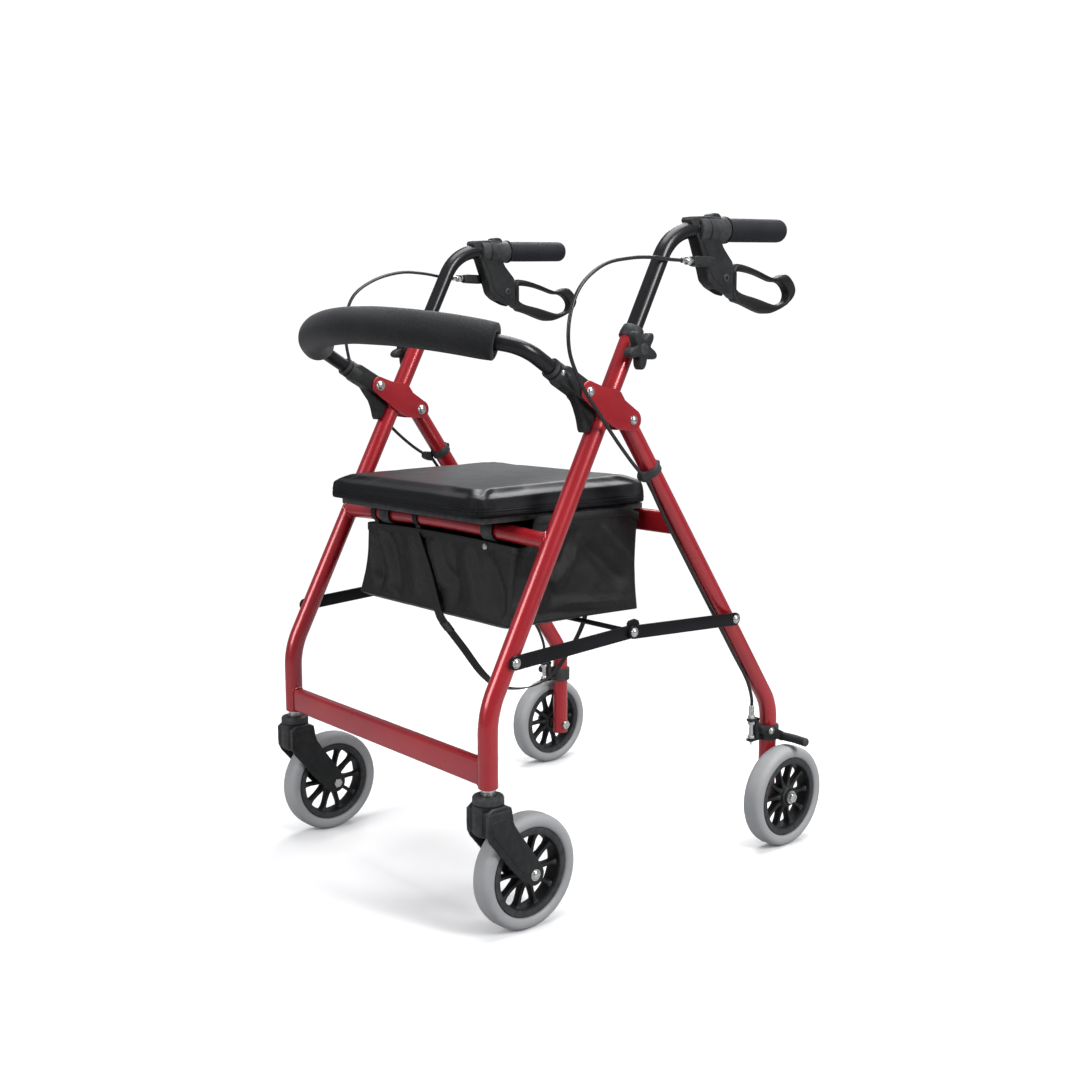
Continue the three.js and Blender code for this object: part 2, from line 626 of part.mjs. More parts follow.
function strap() {
  const section = new THREE.Shape(
    [[-0.8, -6], [0.8, -6], [0.8, 6], [-0.8, 6]].map(([a, b]) => new THREE.Vector2(a, b)),
  );
  const curve = new THREE.CatmullRomCurve3(STRAP_ROUTE.map((p) => vec(...p)), false, "centripetal");
  add("bag_strap", sweep(section, curve.getSpacedPoints(24)), MATERIAL.nylon);
}

function lockRod() {
  const reach = LEG_X + 13.1;
  add("lock_rod", barX(-reach, reach, STRUT_B, 3.5), MATERIAL.blackTube);
}

// Brake cables: from the lever, in a free bow ahead of the handle, then down the front of the rear leg.
const CABLE_BOW = {
  left: [
    [250.5, 292, 847], [252, 258, 848], [254, 215, 845], [257, 165, 834], [259, 125, 806], [261, 106, 768],
    [261, 106, 728], [260, 127, 688], [259, 158, 651], [256, 196, 611], [250, 232, 580],
  ],
  right: [
    [250.5, 292, 848], [252, 258, 852], [254, 215, 852], [257, 166, 838], [259, 131, 814], [261, 118, 782],
    [261, 118, 738], [260, 130, 696], [259, 156, 655], [256, 194, 613], [250, 231, 581],
  ],
};

function brakeCable(side, name, bow) {
  const beside = (z, x) => vec(x, rearY(z) - 20.2, z);
  const free = [
    vec(ADJUSTER.x, ADJUSTER.y, ADJUSTER.z),
    ...bow.map((p) => vec(...p)),
    beside(560, 242),
  ];
  const curve = new THREE.CatmullRomCurve3(free, false, "centripetal");
  const points = curve.getSpacedPoints(28);
  points.push(beside(520, 238), beside(300, 236), beside(250, 235.5), vec(LEG_X, 492.5, 222), vec(LEG_X, 493, 212.4));
  add(name, pipe(points.map((p) => vec(p.x * side, p.y, p.z)), 2.4, 8), MATERIAL.plastic);
}

for (const [side, hand] of [[1, "left"], [-1, "right"]]) {
  frontLeg(side, `front_leg_${hand}`);
  sidePlate(side, `side_plate_${hand}`);
  pivotBolt(side, `pivot_bolt_${hand}`);
  collar(side, `tube_collar_${hand}`);
  starKnob(side, `star_knob_${hand}`);
  handleTube(side, `handle_tube_${hand}`);
  handGrip(side, `hand_grip_${hand}`);
  leverHousing(side, `lever_housing_${hand}`);
  brakeLever(side, `brake_lever_${hand}`);
  cableAdjuster(side, `cable_adjuster_${hand}`);
  rearLeg(side, `rear_leg_${hand}`);
  brakeBracket(side, `brake_bracket_${hand}`);
  brakeShoe(side, `brake_shoe_${hand}`);
  rearAxle(side, `rear_axle_${hand}`);
  wheel(side, side * REAR_WHEEL_X, REAR_Y, 16.5, 5.6, `rear_hub_${hand}`, `rear_tyre_${hand}`);
  casterStem(side, `caster_stem_${hand}`);
  casterFork(side, `caster_fork_${hand}`);
  frontAxle(side, `front_axle_${hand}`);
  wheel(side, side * LEG_X, FRONT_AXLE_Y, 17, 4.5, `front_hub_${hand}`, `front_tyre_${hand}`);
  frontStrut(side, `front_strut_${hand}`);
  rearStrut(side, `rear_strut_${hand}`);
  hingeBlock(side, `hinge_block_${hand}`);
  brakeCable(side, `brake_cable_${hand}`, CABLE_BOW[hand]);
}
backrest();
crossTubes();
seat();
bag();
strap();
lockRod();

export default walker;
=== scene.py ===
import json
import math

import bmesh
import bpy
import numpy as np
from mathutils import Matrix, Quaternion, Vector, noise
from mathutils.bvhtree import BVHTree


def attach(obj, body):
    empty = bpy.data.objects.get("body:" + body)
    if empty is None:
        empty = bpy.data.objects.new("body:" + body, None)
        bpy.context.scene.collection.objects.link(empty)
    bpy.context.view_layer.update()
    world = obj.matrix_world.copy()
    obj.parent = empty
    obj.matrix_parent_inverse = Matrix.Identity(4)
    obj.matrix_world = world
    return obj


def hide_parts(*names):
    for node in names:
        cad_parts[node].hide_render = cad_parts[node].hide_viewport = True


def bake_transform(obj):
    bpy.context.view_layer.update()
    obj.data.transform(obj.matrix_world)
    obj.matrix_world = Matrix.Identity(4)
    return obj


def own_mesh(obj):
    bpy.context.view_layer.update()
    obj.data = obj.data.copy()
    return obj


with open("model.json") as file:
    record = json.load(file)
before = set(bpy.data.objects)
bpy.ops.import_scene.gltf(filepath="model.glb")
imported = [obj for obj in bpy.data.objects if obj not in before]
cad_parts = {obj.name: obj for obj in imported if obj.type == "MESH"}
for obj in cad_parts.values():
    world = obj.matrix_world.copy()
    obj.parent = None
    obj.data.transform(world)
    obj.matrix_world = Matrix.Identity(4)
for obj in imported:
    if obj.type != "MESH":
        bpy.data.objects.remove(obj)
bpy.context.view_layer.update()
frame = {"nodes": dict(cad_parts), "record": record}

# ---- dimensions, millimetres
# x runs to the user's left from the middle, y back from a line near the caster stems, z up from the floor.
MM = 0.001
ORIGIN_Y = 272.3  # where the row frame's y is 0
LEG_X = 235
LEG_R = 12.7
LEG_BORE = 11.4
FRONT_BEND, REAR_BEND, BACK_BEND = 110, 70, 45  # the bends' radii
LEAN = math.radians(27.5)
LEG_TOP = (235.2, 748)  # y and z, like every pair below that says nothing else
STEM_Y = -3
LEG_FOOT_Z = 196
PIVOT = (226, 641)
REAR_SLOPE = 0.705  # how far a rear leg goes back for each millimetre down
REAR_Y = 531
REAR_FOOT_Z = 60
WHEEL_R = 75
FRONT_AXLE_Y = 55
REAR_WHEEL_X = 266
TUBE_R, TUBE_BORE = 11, 9.4
HANDLE_CORNER = 157  # along the leaning tube, from the front leg's top
HANDLE_BEND = 72
HANDLE_RISE = math.radians(3)
HANDLE_INSIDE, HANDLE_REACH = 200, 218  # how far down its leg it goes, and back from its corner
CROSS_Y, CROSS_Z, CROSS_ARCH = 100, 492, 6
# The backrest pad: half width, how far its middle goes forward and up, radius
PAD_HALF, PAD_SAG, PAD_RISE, PAD_R = 204, 72, 22, 24
PAD_END = (34, 740)
BACK_ARM_END = (130, 689)
BACK_TUBE_R, BACK_BORE = 10, 8.7
BACK_PIVOT = (150, 679)
STRUT_A, STRUT_B, STRUT_C = (28.5, 351), (226, 363), (428, 354)
SHOE_PIVOT = (514, 174)
LEVER_PIVOT = (405, 828)
HANDLE_ALONG = Vector((0, math.cos(HANDLE_RISE), math.sin(HANDLE_RISE)))
KNOB_BELOW_TOP = 19  # along the front leg
ADJUSTER = (250.5, 311, 847)  # x, y and z of the left cable's upper end
HANDS = (("left", 1), ("right", -1))
SIDES = [(hand, side, side * LEG_X) for hand, side in HANDS]


def to_frame(p):
    """A point in these millimetres, in the row frame's metres."""
    return Vector((p[0] * MM, (p[1] - ORIGIN_Y) * MM, p[2] * MM))


def to_stem(p):
    """The row frame's metres back in these millimetres, as three numbers."""
    return p[0] / MM, p[1] / MM + ORIGIN_Y, p[2] / MM


def clamp(value):
    return min(max(value, 0), 1)


def on_leg(x, along):
    return Vector((x, LEG_TOP[0] + along * math.sin(LEAN), LEG_TOP[1] + along * math.cos(LEAN)))


def rear_y(z):
    return PIVOT[0] + (PIVOT[1] - z) * REAR_SLOPE


# ---- camera
camera_data = bpy.data.cameras.new("camera")
camera_data.lens, camera_data.sensor_width = 42.86, 36
camera_data.clip_end = 60
camera = bpy.data.objects.new("camera", camera_data)
camera.location = (1.4348, -1.2183, 0.7196)
camera.rotation_euler = (math.radians(90 - 8.034), 0, math.radians(49.434))
bpy.context.scene.collection.objects.link(camera)
bpy.context.scene.camera = camera


# ---- materials
class Nodes:
    """A material's node tree, with short calls for the nodes used here."""

    def __init__(self, name):
        self.material = bpy.data.materials.new(name)
        self.material.use_nodes = True
        self.tree = self.material.node_tree
        self.shader = self.tree.nodes["Principled BSDF"]
        self.place = self.add("ShaderNodeTexCoord").outputs["Object"]

    def add(self, kind, **settings):
        node = self.tree.nodes.new(kind)
        for key, value in settings.items():
            if hasattr(node, key):
                setattr(node, key, value)
            else:
                node.inputs[key].default_value = value
        return node

    def link(self, a, b):
        self.tree.links.new(a, b)

    def noise(self, scale, detail=2.0, rough=0.5, stretch=None):
        node = self.add("ShaderNodeTexNoise", Scale=scale, Detail=detail, Roughness=rough)
        if stretch:
            mapping = self.add("ShaderNodeMapping", Scale=stretch)
            self.link(self.place, mapping.inputs["Vector"])
            self.link(mapping.outputs[0], node.inputs["Vector"])
        else:
            self.link(self.place, node.inputs["Vector"])
        return node.outputs["Fac"]

    def spread(self, value, low, high, from_low=0.0, from_high=1.0):
        node = self.add("ShaderNodeMapRange")
        self.link(value, node.inputs["Value"])
        limits = {"From Min": from_low, "From Max": from_high, "To Min": low, "To Max": high}
        for key, number in limits.items():
            node.inputs[key].default_value = number
        return node.outputs[0]

    def maths(self, operation, a, b=0.0):
        node = self.add("ShaderNodeMath", operation=operation)
        for socket, value in zip(node.inputs, (a, b)):
            if isinstance(value, (int, float)):
                socket.default_value = value
            else:
                self.link(value, socket)
        return node.outputs[0]

    def mix(self, share, a, b):
        node = self.add("ShaderNodeMix", data_type="RGBA")
        self.link(share, node.inputs[0])
        for socket, value in ((node.inputs[6], a), (node.inputs[7], b)):
            if isinstance(value, tuple):
                socket.default_value = (*value, 1)
            else:
                self.link(value, socket)
        return node.outputs[2]

    def bump(self, height, strength, distance, after=None):
        node = self.add("ShaderNodeBump", Strength=strength, Distance=distance)
        self.link(height, node.inputs["Height"])
        if after:
            self.link(after, node.inputs["Normal"])
        return node.outputs[0]

    def edges(self):
        """0 on flat surfaces, 1 on worn outer edges."""
        return self.spread(self.add("ShaderNodeNewGeometry").outputs["Pointiness"], 0, 1, 0.505, 0.56)

    def finish(self, colour, roughness, normal, **constants):
        self.link(colour, self.shader.inputs["Base Color"])
        self.link(roughness, self.shader.inputs["Roughness"])
        self.link(normal, self.shader.inputs["Normal"])
        for key, value in constants.items():
            self.shader.inputs[key.replace("_", " ")].default_value = value
        return self.material


def weave_height(n, pitch):
    """A plain weave's height on any face: a sum of waves along the three axes."""
    parts = n.add("ShaderNodeSeparateXYZ")
    n.link(n.place, parts.inputs[0])
    waves = [n.maths("SINE", n.maths("MULTIPLY", out, 2 * math.pi / pitch)) for out in parts.outputs]
    return n.maths("ADD", n.maths("ADD", waves[0], waves[1]), waves[2])


def red_paint():
    n = Nodes("red_paint")
    cloud = n.noise(9, 3)
    colour = n.mix(n.spread(cloud, 0, 1, 0.35, 0.7), (0.29, 0.006, 0.012), (0.37, 0.009, 0.016))
    speck = n.spread(n.noise(900, 1), 0, 0.35, 0.62, 0.8)
    colour = n.mix(speck, colour, (0.42, 0.04, 0.045))
    rough = n.spread(n.noise(60, 3), 0.24, 0.36)
    peel = n.bump(n.noise(420, 2), 0.06, 0.0006)
    return n.finish(colour, rough, peel, Metallic=0.25, Coat_Weight=0.6, Coat_Roughness=0.12, IOR=1.5)


def black_paint(name="black_tube", coat=0.12, shine=0.3):
    n = Nodes(name)
    colour = n.mix(n.noise(14, 3), (0.006, 0.006, 0.007), (0.012, 0.012, 0.014))
    scuff = n.spread(n.noise(130, 4, 0.6, (1, 1, 0.25)), 0, 0.16, 0.6, 0.85)
    rough = n.maths("ADD", scuff, n.spread(n.noise(45, 2), 0.24, 0.34))
    peel = n.bump(n.noise(380, 2), 0.05, 0.0006)
    return n.finish(
        colour, rough, peel, Coat_Weight=coat, Coat_Roughness=0.15, IOR=1.45, Specular_IOR_Level=shine,
    )


def moulded_plastic(name="black_plastic", dark=0.0045, light=0.011):
    n = Nodes(name)
    colour = n.mix(n.noise(22, 3), (dark, dark * 1.03, dark * 1.06), (light, light * 1.03, light * 1.06))
    worn = n.maths("MULTIPLY", n.edges(), n.noise(120, 3))
    colour = n.mix(worn, colour, (0.07, 0.072, 0.074))
    rough = n.spread(n.noise(70, 3), 0.42, 0.58)
    fine = n.bump(n.noise(1500, 2), 0.16, 0.0004)
    normal = n.bump(n.noise(160, 2), 0.05, 0.0006, fine)
    return n.finish(colour, rough, normal, IOR=1.45, Specular_IOR_Level=0.22)


def foam():
    n = Nodes("foam")
    cells = n.add("ShaderNodeTexVoronoi", Scale=620)
    n.link(n.place, cells.inputs["Vector"])
    cell = cells.outputs["Distance"]
    colour = n.mix(n.spread(cell, 0, 1, 0.1, 0.7), (0.004, 0.0043, 0.0048), (0.013, 0.0135, 0.015))
    colour = n.mix(n.spread(n.noise(16, 3), 0, 0.5, 0.4, 0.7), colour, (0.018, 0.0185, 0.02))
    rough = n.spread(n.noise(240, 2), 0.62, 0.82)
    soft = n.bump(n.noise(55, 3), 0.12, 0.002)
    normal = n.bump(cell, 0.35, 0.0006, soft)
    return n.finish(
        colour, rough, normal, Sheen_Weight=0.1, Sheen_Roughness=0.5, IOR=1.4, Specular_IOR_Level=0.2,
    )


def grip_rubber():
    n = Nodes("grip")
    colour = n.mix(n.noise(26, 3), (0.006, 0.0066, 0.009), (0.014, 0.015, 0.019))
    dots = n.add("ShaderNodeTexVoronoi", Scale=420)
    n.link(n.place, dots.inputs["Vector"])
    rough = n.spread(n.noise(150, 2), 0.55, 0.72)
    studs = n.bump(dots.outputs["Distance"], 0.25, 0.0007)
    normal = n.bump(n.noise(1100, 2), 0.1, 0.0003, studs)
    return n.finish(colour, rough, normal, IOR=1.45, Specular_IOR_Level=0.25)


def vinyl():
    n = Nodes("vinyl")
    cells = n.add("ShaderNodeTexVoronoi", feature="F1", Scale=520)
    bend = n.add("ShaderNodeMix", data_type="VECTOR")
    bend.inputs[0].default_value = 0.004
    warp = n.add("ShaderNodeTexNoise", Scale=90, Detail=2)
    n.link(n.place, warp.inputs["Vector"])
    n.link(n.place, bend.inputs[4])
    n.link(warp.outputs["Color"], bend.inputs[5])
    n.link(bend.outputs[1], cells.inputs["Vector"])
    pores = n.spread(cells.outputs["Distance"], 0, 1, 0.0, 0.8)
    colour = n.mix(pores, (0.006, 0.0064, 0.008), (0.003, 0.003, 0.0036))
    colour = n.mix(n.spread(n.noise(7, 3), 0, 0.6, 0.35, 0.75), colour, (0.008, 0.0086, 0.0105))
    facing = n.add("ShaderNodeSeparateXYZ")
    n.link(n.add("ShaderNodeTexCoord").outputs["Normal"], facing.inputs[0])
    polished = n.spread(facing.outputs["Z"], 0.26, 0.0, 0.75, 0.985)
    rough = n.maths("ADD", n.spread(n.noise(34, 3), 0.27, 0.38), n.maths("MULTIPLY", pores, 0.06))
    rough = n.maths("ADD", rough, polished)
    creases = n.bump(n.noise(22, 4, 0.6), 0.12, 0.004)
    material = n.finish(colour, rough, n.bump(pores, 0.14, 0.0005, creases), IOR=1.5)
    n.link(n.spread(facing.outputs["Z"], 0.14, 0.55, 0.75, 0.985), n.shader.inputs["Specular IOR Level"])
    return material


def nylon(name="nylon", pitch=0.0011, dark=0.0022, light=0.0055):
    n = Nodes(name)
    height = weave_height(n, pitch)
    colour = n.mix(n.spread(height, 0, 1, -2, 2), (dark, dark, dark * 1.05), (light, light, light * 1.05))
    colour = n.mix(n.spread(n.noise(13, 4), 0, 0.5, 0.4, 0.75), colour, (0.0075, 0.0075, 0.008))
    rough = n.spread(n.noise(60, 3), 0.42, 0.56)
    crumple = n.bump(n.noise(40, 4, 0.55), 0.22, 0.004)
    normal = n.bump(height, 0.3, 0.0003, crumple)
    return n.finish(
        colour, rough, normal, Sheen_Weight=0.04, Sheen_Roughness=0.4, IOR=1.5, Specular_IOR_Level=0.28,
    )


def tyre_rubber():
    n = Nodes("grey_tyre")
    colour = n.mix(n.noise(20, 4), (0.255, 0.26, 0.265), (0.32, 0.325, 0.33))
    grime = n.spread(n.noise(75, 5, 0.65), 0, 0.35, 0.56, 0.8)
    colour = n.mix(grime, colour, (0.2, 0.2, 0.198))
    rough = n.spread(n.noise(90, 3), 0.5, 0.66)
    fine = n.bump(n.noise(900, 2), 0.12, 0.0005)
    return n.finish(colour, rough, n.bump(n.noise(60, 3), 0.05, 0.002, fine), IOR=1.45)


def zinc():
    n = Nodes("zinc_bolt")
    colour = n.mix(n.noise(70, 3), (0.5, 0.5, 0.49), (0.68, 0.68, 0.66))
    colour = n.mix(n.spread(n.noise(300, 4), 0, 0.4, 0.6, 0.8), colour, (0.33, 0.32, 0.3))
    rough = n.spread(n.noise(220, 3), 0.2, 0.38)
    return n.finish(colour, rough, n.bump(n.noise(800, 2, 0.5, (1, 1, 6)), 0.08, 0.0003), Metallic=1.0)


def cable_jacket():
    n = Nodes("cable_jacket")
    colour = n.mix(n.noise(35, 2), (0.007, 0.007, 0.008), (0.014, 0.014, 0.015))
    rough = n.spread(n.noise(90, 2), 0.3, 0.45)
    return n.finish(colour, rough, n.bump(n.noise(700, 2), 0.08, 0.0004), IOR=1.48)


RED, BLACK, PLASTIC, FOAM, GRIP = red_paint(), black_paint(), moulded_plastic(), foam(), grip_rubber()
SATIN = black_paint("strut_paint", 0.0, 0.12)
VINYL, NYLON, TYRE, ZINC, JACKET = vinyl(), nylon(), tyre_rubber(), zinc(), cable_jacket()
KNOB = moulded_plastic("knob_plastic", 0.009, 0.018)
WEBBING = nylon("webbing", 0.0019, 0.003, 0.009)
SLOT_OF = {
    "red_paint": RED, "black_tube": BLACK, "black_plastic": PLASTIC, "foam": FOAM, "grip": GRIP,
    "vinyl": VINYL, "nylon": NYLON, "grey_tyre": TYRE, "zinc_bolt": ZINC, "cable_jacket": JACKET,
}


# ---- mesh helpers
def link_mesh(mesh, sharp=35):
    mesh.shade_smooth()
    if sharp:
        mesh.set_sharp_from_angle(angle=math.radians(sharp))
    o = bpy.data.objects.new("piece", mesh)
    bpy.context.scene.collection.objects.link(o)
    return o


def make(points, faces, sharp=35):
    """A mesh object from points in millimetres."""
    mesh = bpy.data.meshes.new("piece")
    mesh.from_pydata([to_frame(p) for p in points], [], faces)
    return link_mesh(mesh, sharp)


def loft(rings, closed=False, caps=True, sharp=35):
    """Skins rings of equally many points. closed joins the last ring to the first."""
    count = len(rings[0])
    points = [p for ring in rings for p in ring]
    faces = []
    for i in range(len(rings) if closed else len(rings) - 1):
        a, b = i * count, ((i + 1) % len(rings)) * count
        for k in range(count):
            m = (k + 1) % count
            faces.append((a + k, a + m, b + m, b + k))
    if caps and not closed:
        faces.append(tuple(range(count))[::-1])
        faces.append(tuple(range((len(rings) - 1) * count, len(rings) * count)))
    o = make(points, faces, sharp)
    face_out(o.data)
    return o


def face_out(mesh, weld=0.0):
    """Turns a mesh's faces outward, after joining points nearer to each other than `weld` metres."""
    bm = bmesh.new()
    bm.from_mesh(mesh)
    if weld:
        bmesh.ops.remove_doubles(bm, verts=bm.verts, dist=weld)
    bmesh.ops.recalc_face_normals(bm, faces=bm.faces)
    bm.to_mesh(mesh)
    bm.free()


def carried(path):
    """(point, normal, side) along a path, with as little turning as possible."""
    points = [Vector(p) for p in path]
    last = len(points) - 1
    tangents = [(points[min(i + 1, last)] - points[max(i - 1, 0)]).normalized() for i in range(last + 1)]
    first = tangents[0]
    reference = Vector((1, 0, 0)) if abs(first.x) < 0.8 else Vector((0, 0, 1))
    normal = (reference - first * reference.dot(first)).normalized()
    out = []
    for i, tangent in enumerate(tangents):
        if i:
            normal = tangents[i - 1].rotation_difference(tangent) @ normal
            normal = (normal - tangent * normal.dot(tangent)).normalized()
        out.append((points[i], normal, tangent.cross(normal)))
    return out


def circle(spot, radius, sides):
    """A ring of points round a (point, normal, side) of a path."""
    point, normal, side = spot
    steps = [2 * math.pi * k / sides for k in range(sides)]
    return [point + normal * radius * math.cos(a) + side * radius * math.sin(a) for a in steps]


def tube(path, radius, sides=32, bore=None, rim=0.5):
    """A round tube or bar along a path, with small rounded rims."""
    places = carried(path)
    start, end = places[0], places[-1]
    inward = (places[1][0] - start[0]).normalized() * rim
    outward = (end[0] - places[-2][0]).normalized() * rim
    rings = [circle(start, radius - rim, sides), circle((start[0] + inward, *start[1:]), radius, sides)]
    rings += [circle(p, radius, sides) for p in places[1:-1]]
    rings += [circle((end[0] - outward, *end[1:]), radius, sides), circle(end, radius - rim, sides)]
    if bore:
        rings += [circle(end, bore, sides)] + [circle(p, bore, sides) for p in places[-2:0:-1]]
        rings += [circle(start, bore, sides)]
    return loft(rings, closed=bool(bore))


def lathe(profile, centre, axis, sides=48, sharp=35):
    """Turns a profile of (radius, distance along the axis). A profile that ends where it began is a ring."""
    axis = Vector(axis).normalized()
    reference = Vector((0, 0, 1)) if abs(axis.z) < 0.9 else Vector((1, 0, 0))
    normal = (reference - axis * reference.dot(axis)).normalized()
    side = axis.cross(normal)
    closed = profile[0] == profile[-1]
    used = profile[:-1] if closed else profile
    rings = [circle((Vector(centre) + axis * d, normal, side), max(r, 0.02), sides) for r, d in used]
    return loft(rings, closed=closed, sharp=sharp)


def arc(centre, radius, start, end, steps):
    """Points of an arc in (y, z), from and to an angle in degrees."""
    angles = [math.radians(start + (end - start) * i / steps) for i in range(steps + 1)]
    return [(centre[0] + radius * math.cos(a), centre[1] + radius * math.sin(a)) for a in angles]


def stadium(a, b, radius, steps=14):
    turn = math.degrees(math.atan2(b[1] - a[1], b[0] - a[0]))
    return arc(b, radius, turn - 90, turn + 90, steps) + arc(a, radius, turn + 90, turn + 270, steps)


def soften(points, times, share):
    """Cuts an outline's corners until they are round."""
    for _ in range(times):
        cut = []
        for i, a in enumerate(points):
            b = points[(i + 1) % len(points)]
            cut.append((a[0] + (b[0] - a[0]) * share, a[1] + (b[1] - a[1]) * share))
            cut.append((b[0] - (b[0] - a[0]) * share, b[1] - (b[1] - a[1]) * share))
        points = cut
    return points


def slab(outline, x0, x1, edge, holes=(), steps=3):
    """A plate cut to an outline in (y, z), with rounded edges."""
    curve = bpy.data.curves.new("outline", "CURVE")
    curve.dimensions, curve.fill_mode = "2D", "BOTH"
    curve.extrude = (abs(x1 - x0) / 2 - edge) * MM
    curve.bevel_depth, curve.bevel_resolution, curve.offset = edge * MM, steps, -edge * MM
    for points in (outline, *holes):
        line = curve.splines.new("POLY")
        line.points.add(len(points) - 1)
        for i, (y, z) in enumerate(points):
            line.points[i].co = ((y - ORIGIN_Y) * MM, z * MM, 0, 1)
        line.use_cyclic_u = True
    o = bpy.data.objects.new("outline", curve)
    bpy.context.scene.collection.objects.link(o)
    bpy.context.view_layer.update()
    mesh = bpy.data.meshes.new_from_object(o.evaluated_get(bpy.context.evaluated_depsgraph_get()))
    bpy.data.objects.remove(o)
    bpy.data.curves.remove(curve)
    centre = (x0 + x1) / 2 * MM
    mesh.transform(Matrix(((0, 0, 1, centre), (1, 0, 0, 0), (0, 1, 0, 0), (0, 0, 0, 1))))
    face_out(mesh, 1e-6)
    mesh.materials.clear()
    return link_mesh(mesh, 40)


def side_slab(outline, x, side, faces, edge, **shape):
    """A plate on one side of the plane at x, its faces that far from it."""
    return slab(outline, x + side * faces[0], x + side * faces[1], edge, **shape)


def bake(o):
    """Replaces an object's mesh by what its modifiers make."""
    bpy.context.view_layer.update()
    mesh = bpy.data.meshes.new_from_object(o.evaluated_get(bpy.context.evaluated_depsgraph_get()))
    old = o.data
    o.modifiers.clear()
    o.data = mesh
    bpy.data.meshes.remove(old)
    return o


def combine(o, operation, *tools):
    for tool in tools:
        m = o.modifiers.new("combine", "BOOLEAN")
        m.operation, m.solver, m.object = operation, "EXACT", tool
    bake(o)
    for tool in tools:
        bpy.data.objects.remove(tool)
    o.data.shade_smooth()
    o.data.set_sharp_from_angle(angle=math.radians(35))
    return o


def merge(*parts):
    """One object that holds several meshes."""
    bm = bmesh.new()
    for part in parts:
        bm.from_mesh(part.data)
        bpy.data.objects.remove(part)
    mesh = bpy.data.meshes.new("piece")
    bm.to_mesh(mesh)
    bm.free()
    return link_mesh(mesh)


def place(name, o, body, slot, *nodes, look=None):
    """Names a finished piece, gives it its slot's material (or the look given), hangs it on its body and
    hides the CAD nodes it stands for.
    """
    o.name = o.data.name = name
    o.data.materials.clear()
    o.data.materials.append(look or SLOT_OF[slot])
    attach(o, body)
    if nodes:
        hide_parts(*nodes)
    return o


def keep(node, edge):
    """Shows a CAD node, with rounded edges and its slot's material."""
    o = frame["nodes"][node]
    slots = {s["node"]: s["material_slot"] for s in frame["record"]["subparts"]}
    o.data.materials.clear()
    o.data.materials.append(SLOT_OF[slots[node]])
    weld = o.modifiers.new("weld", "WELD")
    weld.merge_threshold = 1e-5
    m = o.modifiers.new("edge", "BEVEL")
    m.width, m.segments, m.limit_method = edge * MM, 2, "ANGLE"
    m.angle_limit, m.harden_normals = math.radians(34), True
    o.data.shade_smooth()
    o.data.set_sharp_from_angle(angle=math.radians(34))
    return o


# ---- paths
def bent(corners, radius, steps=20):
    """A path through corners, each rounded by an arc."""
    corners = [Vector(c) for c in corners]
    points = [corners[0]]
    for before, corner, after in zip(corners, corners[1:], corners[2:]):
        back, on = (before - corner).normalized(), (after - corner).normalized()
        half = back.angle(on) / 2
        centre = corner + (back + on).normalized() * radius / math.sin(half)
        start = corner + back * radius / math.tan(half) - centre
        end = corner + on * radius / math.tan(half) - centre
        axis, turn = start.cross(end).normalized(), start.angle(end)
        points += [Quaternion(axis, turn * k / steps) @ start + centre for k in range(steps + 1)]
    return points + [corners[-1]]


def front_leg_path(x):
    corner = (x, STEM_Y, LEG_TOP[1] - (LEG_TOP[0] - STEM_Y) / math.tan(LEAN))
    return bent([(x, STEM_Y, LEG_FOOT_Z), corner, on_leg(x, 0)], FRONT_BEND)


def rear_leg_path(x):
    turn = math.atan(REAR_SLOPE)
    top = (x, PIVOT[0] - LEG_R * math.sin(turn), PIVOT[1] + LEG_R * math.cos(turn))
    corner = (x, REAR_Y, PIVOT[1] - (REAR_Y - PIVOT[0]) / REAR_SLOPE)
    return bent([top, corner, (x, REAR_Y, REAR_FOOT_Z)], REAR_BEND)


def handle_path(x):
    corner = on_leg(x, HANDLE_CORNER)
    return bent([on_leg(x, -HANDLE_INSIDE), corner, corner + HANDLE_ALONG * HANDLE_REACH], HANDLE_BEND)


def pad_arc(steps):
    """The backrest pad's centreline, from its right end to its left."""
    radius = (PAD_HALF**2 + PAD_SAG**2) / (2 * PAD_SAG)
    half = math.asin(PAD_HALF / radius)
    out = []
    for i in range(steps + 1):
        a = half * (2 * i / steps - 1)
        forward = PAD_SAG - radius * (1 - math.cos(a))
        rise = PAD_RISE * forward / PAD_SAG
        out.append(Vector((radius * math.sin(a), PAD_END[0] - forward, PAD_END[1] + rise)))
    return out


def back_path():
    coarse = pad_arc(10)
    line = pad_arc(40)

    def arm(side):
        end, inner = (coarse[0], coarse[1]) if side < 0 else (coarse[-1], coarse[-2])
        out = end - inner
        corner = end + out * (LEG_X - PAD_HALF) / abs(out.x)
        return bent([inner, corner, (side * LEG_X, *BACK_ARM_END)], BACK_BEND, 12)[1:]

    return arm(-1)[::-1] + line[3:-3] + arm(1)


def spline(points, count):
    """Evenly spaced points on a centripetal Catmull-Rom curve."""
    pts = [Vector(p) for p in points]
    ends = [2 * pts[0] - pts[1], *pts, 2 * pts[-1] - pts[-2]]
    dense = []
    for i in range(1, len(ends) - 2):
        p0, p1, p2, p3 = ends[i - 1 : i + 3]
        t0, t1 = 0.0, (p1 - p0).length ** 0.5
        t2 = t1 + (p2 - p1).length ** 0.5
        t3 = t2 + (p3 - p2).length ** 0.5
        for k in range(24):
            t = t1 + (t2 - t1) * k / 24
            a1 = p0.lerp(p1, (t - t0) / (t1 - t0))
            a2 = p1.lerp(p2, (t - t1) / (t2 - t1))
            a3 = p2.lerp(p3, (t - t2) / (t3 - t2))
            b1, b2 = a1.lerp(a2, (t - t0) / (t2 - t0)), a2.lerp(a3, (t - t1) / (t3 - t1))
            dense.append(b1.lerp(b2, (t - t1) / (t2 - t1)))
    dense.append(pts[-1])
    return spaced(dense, count)


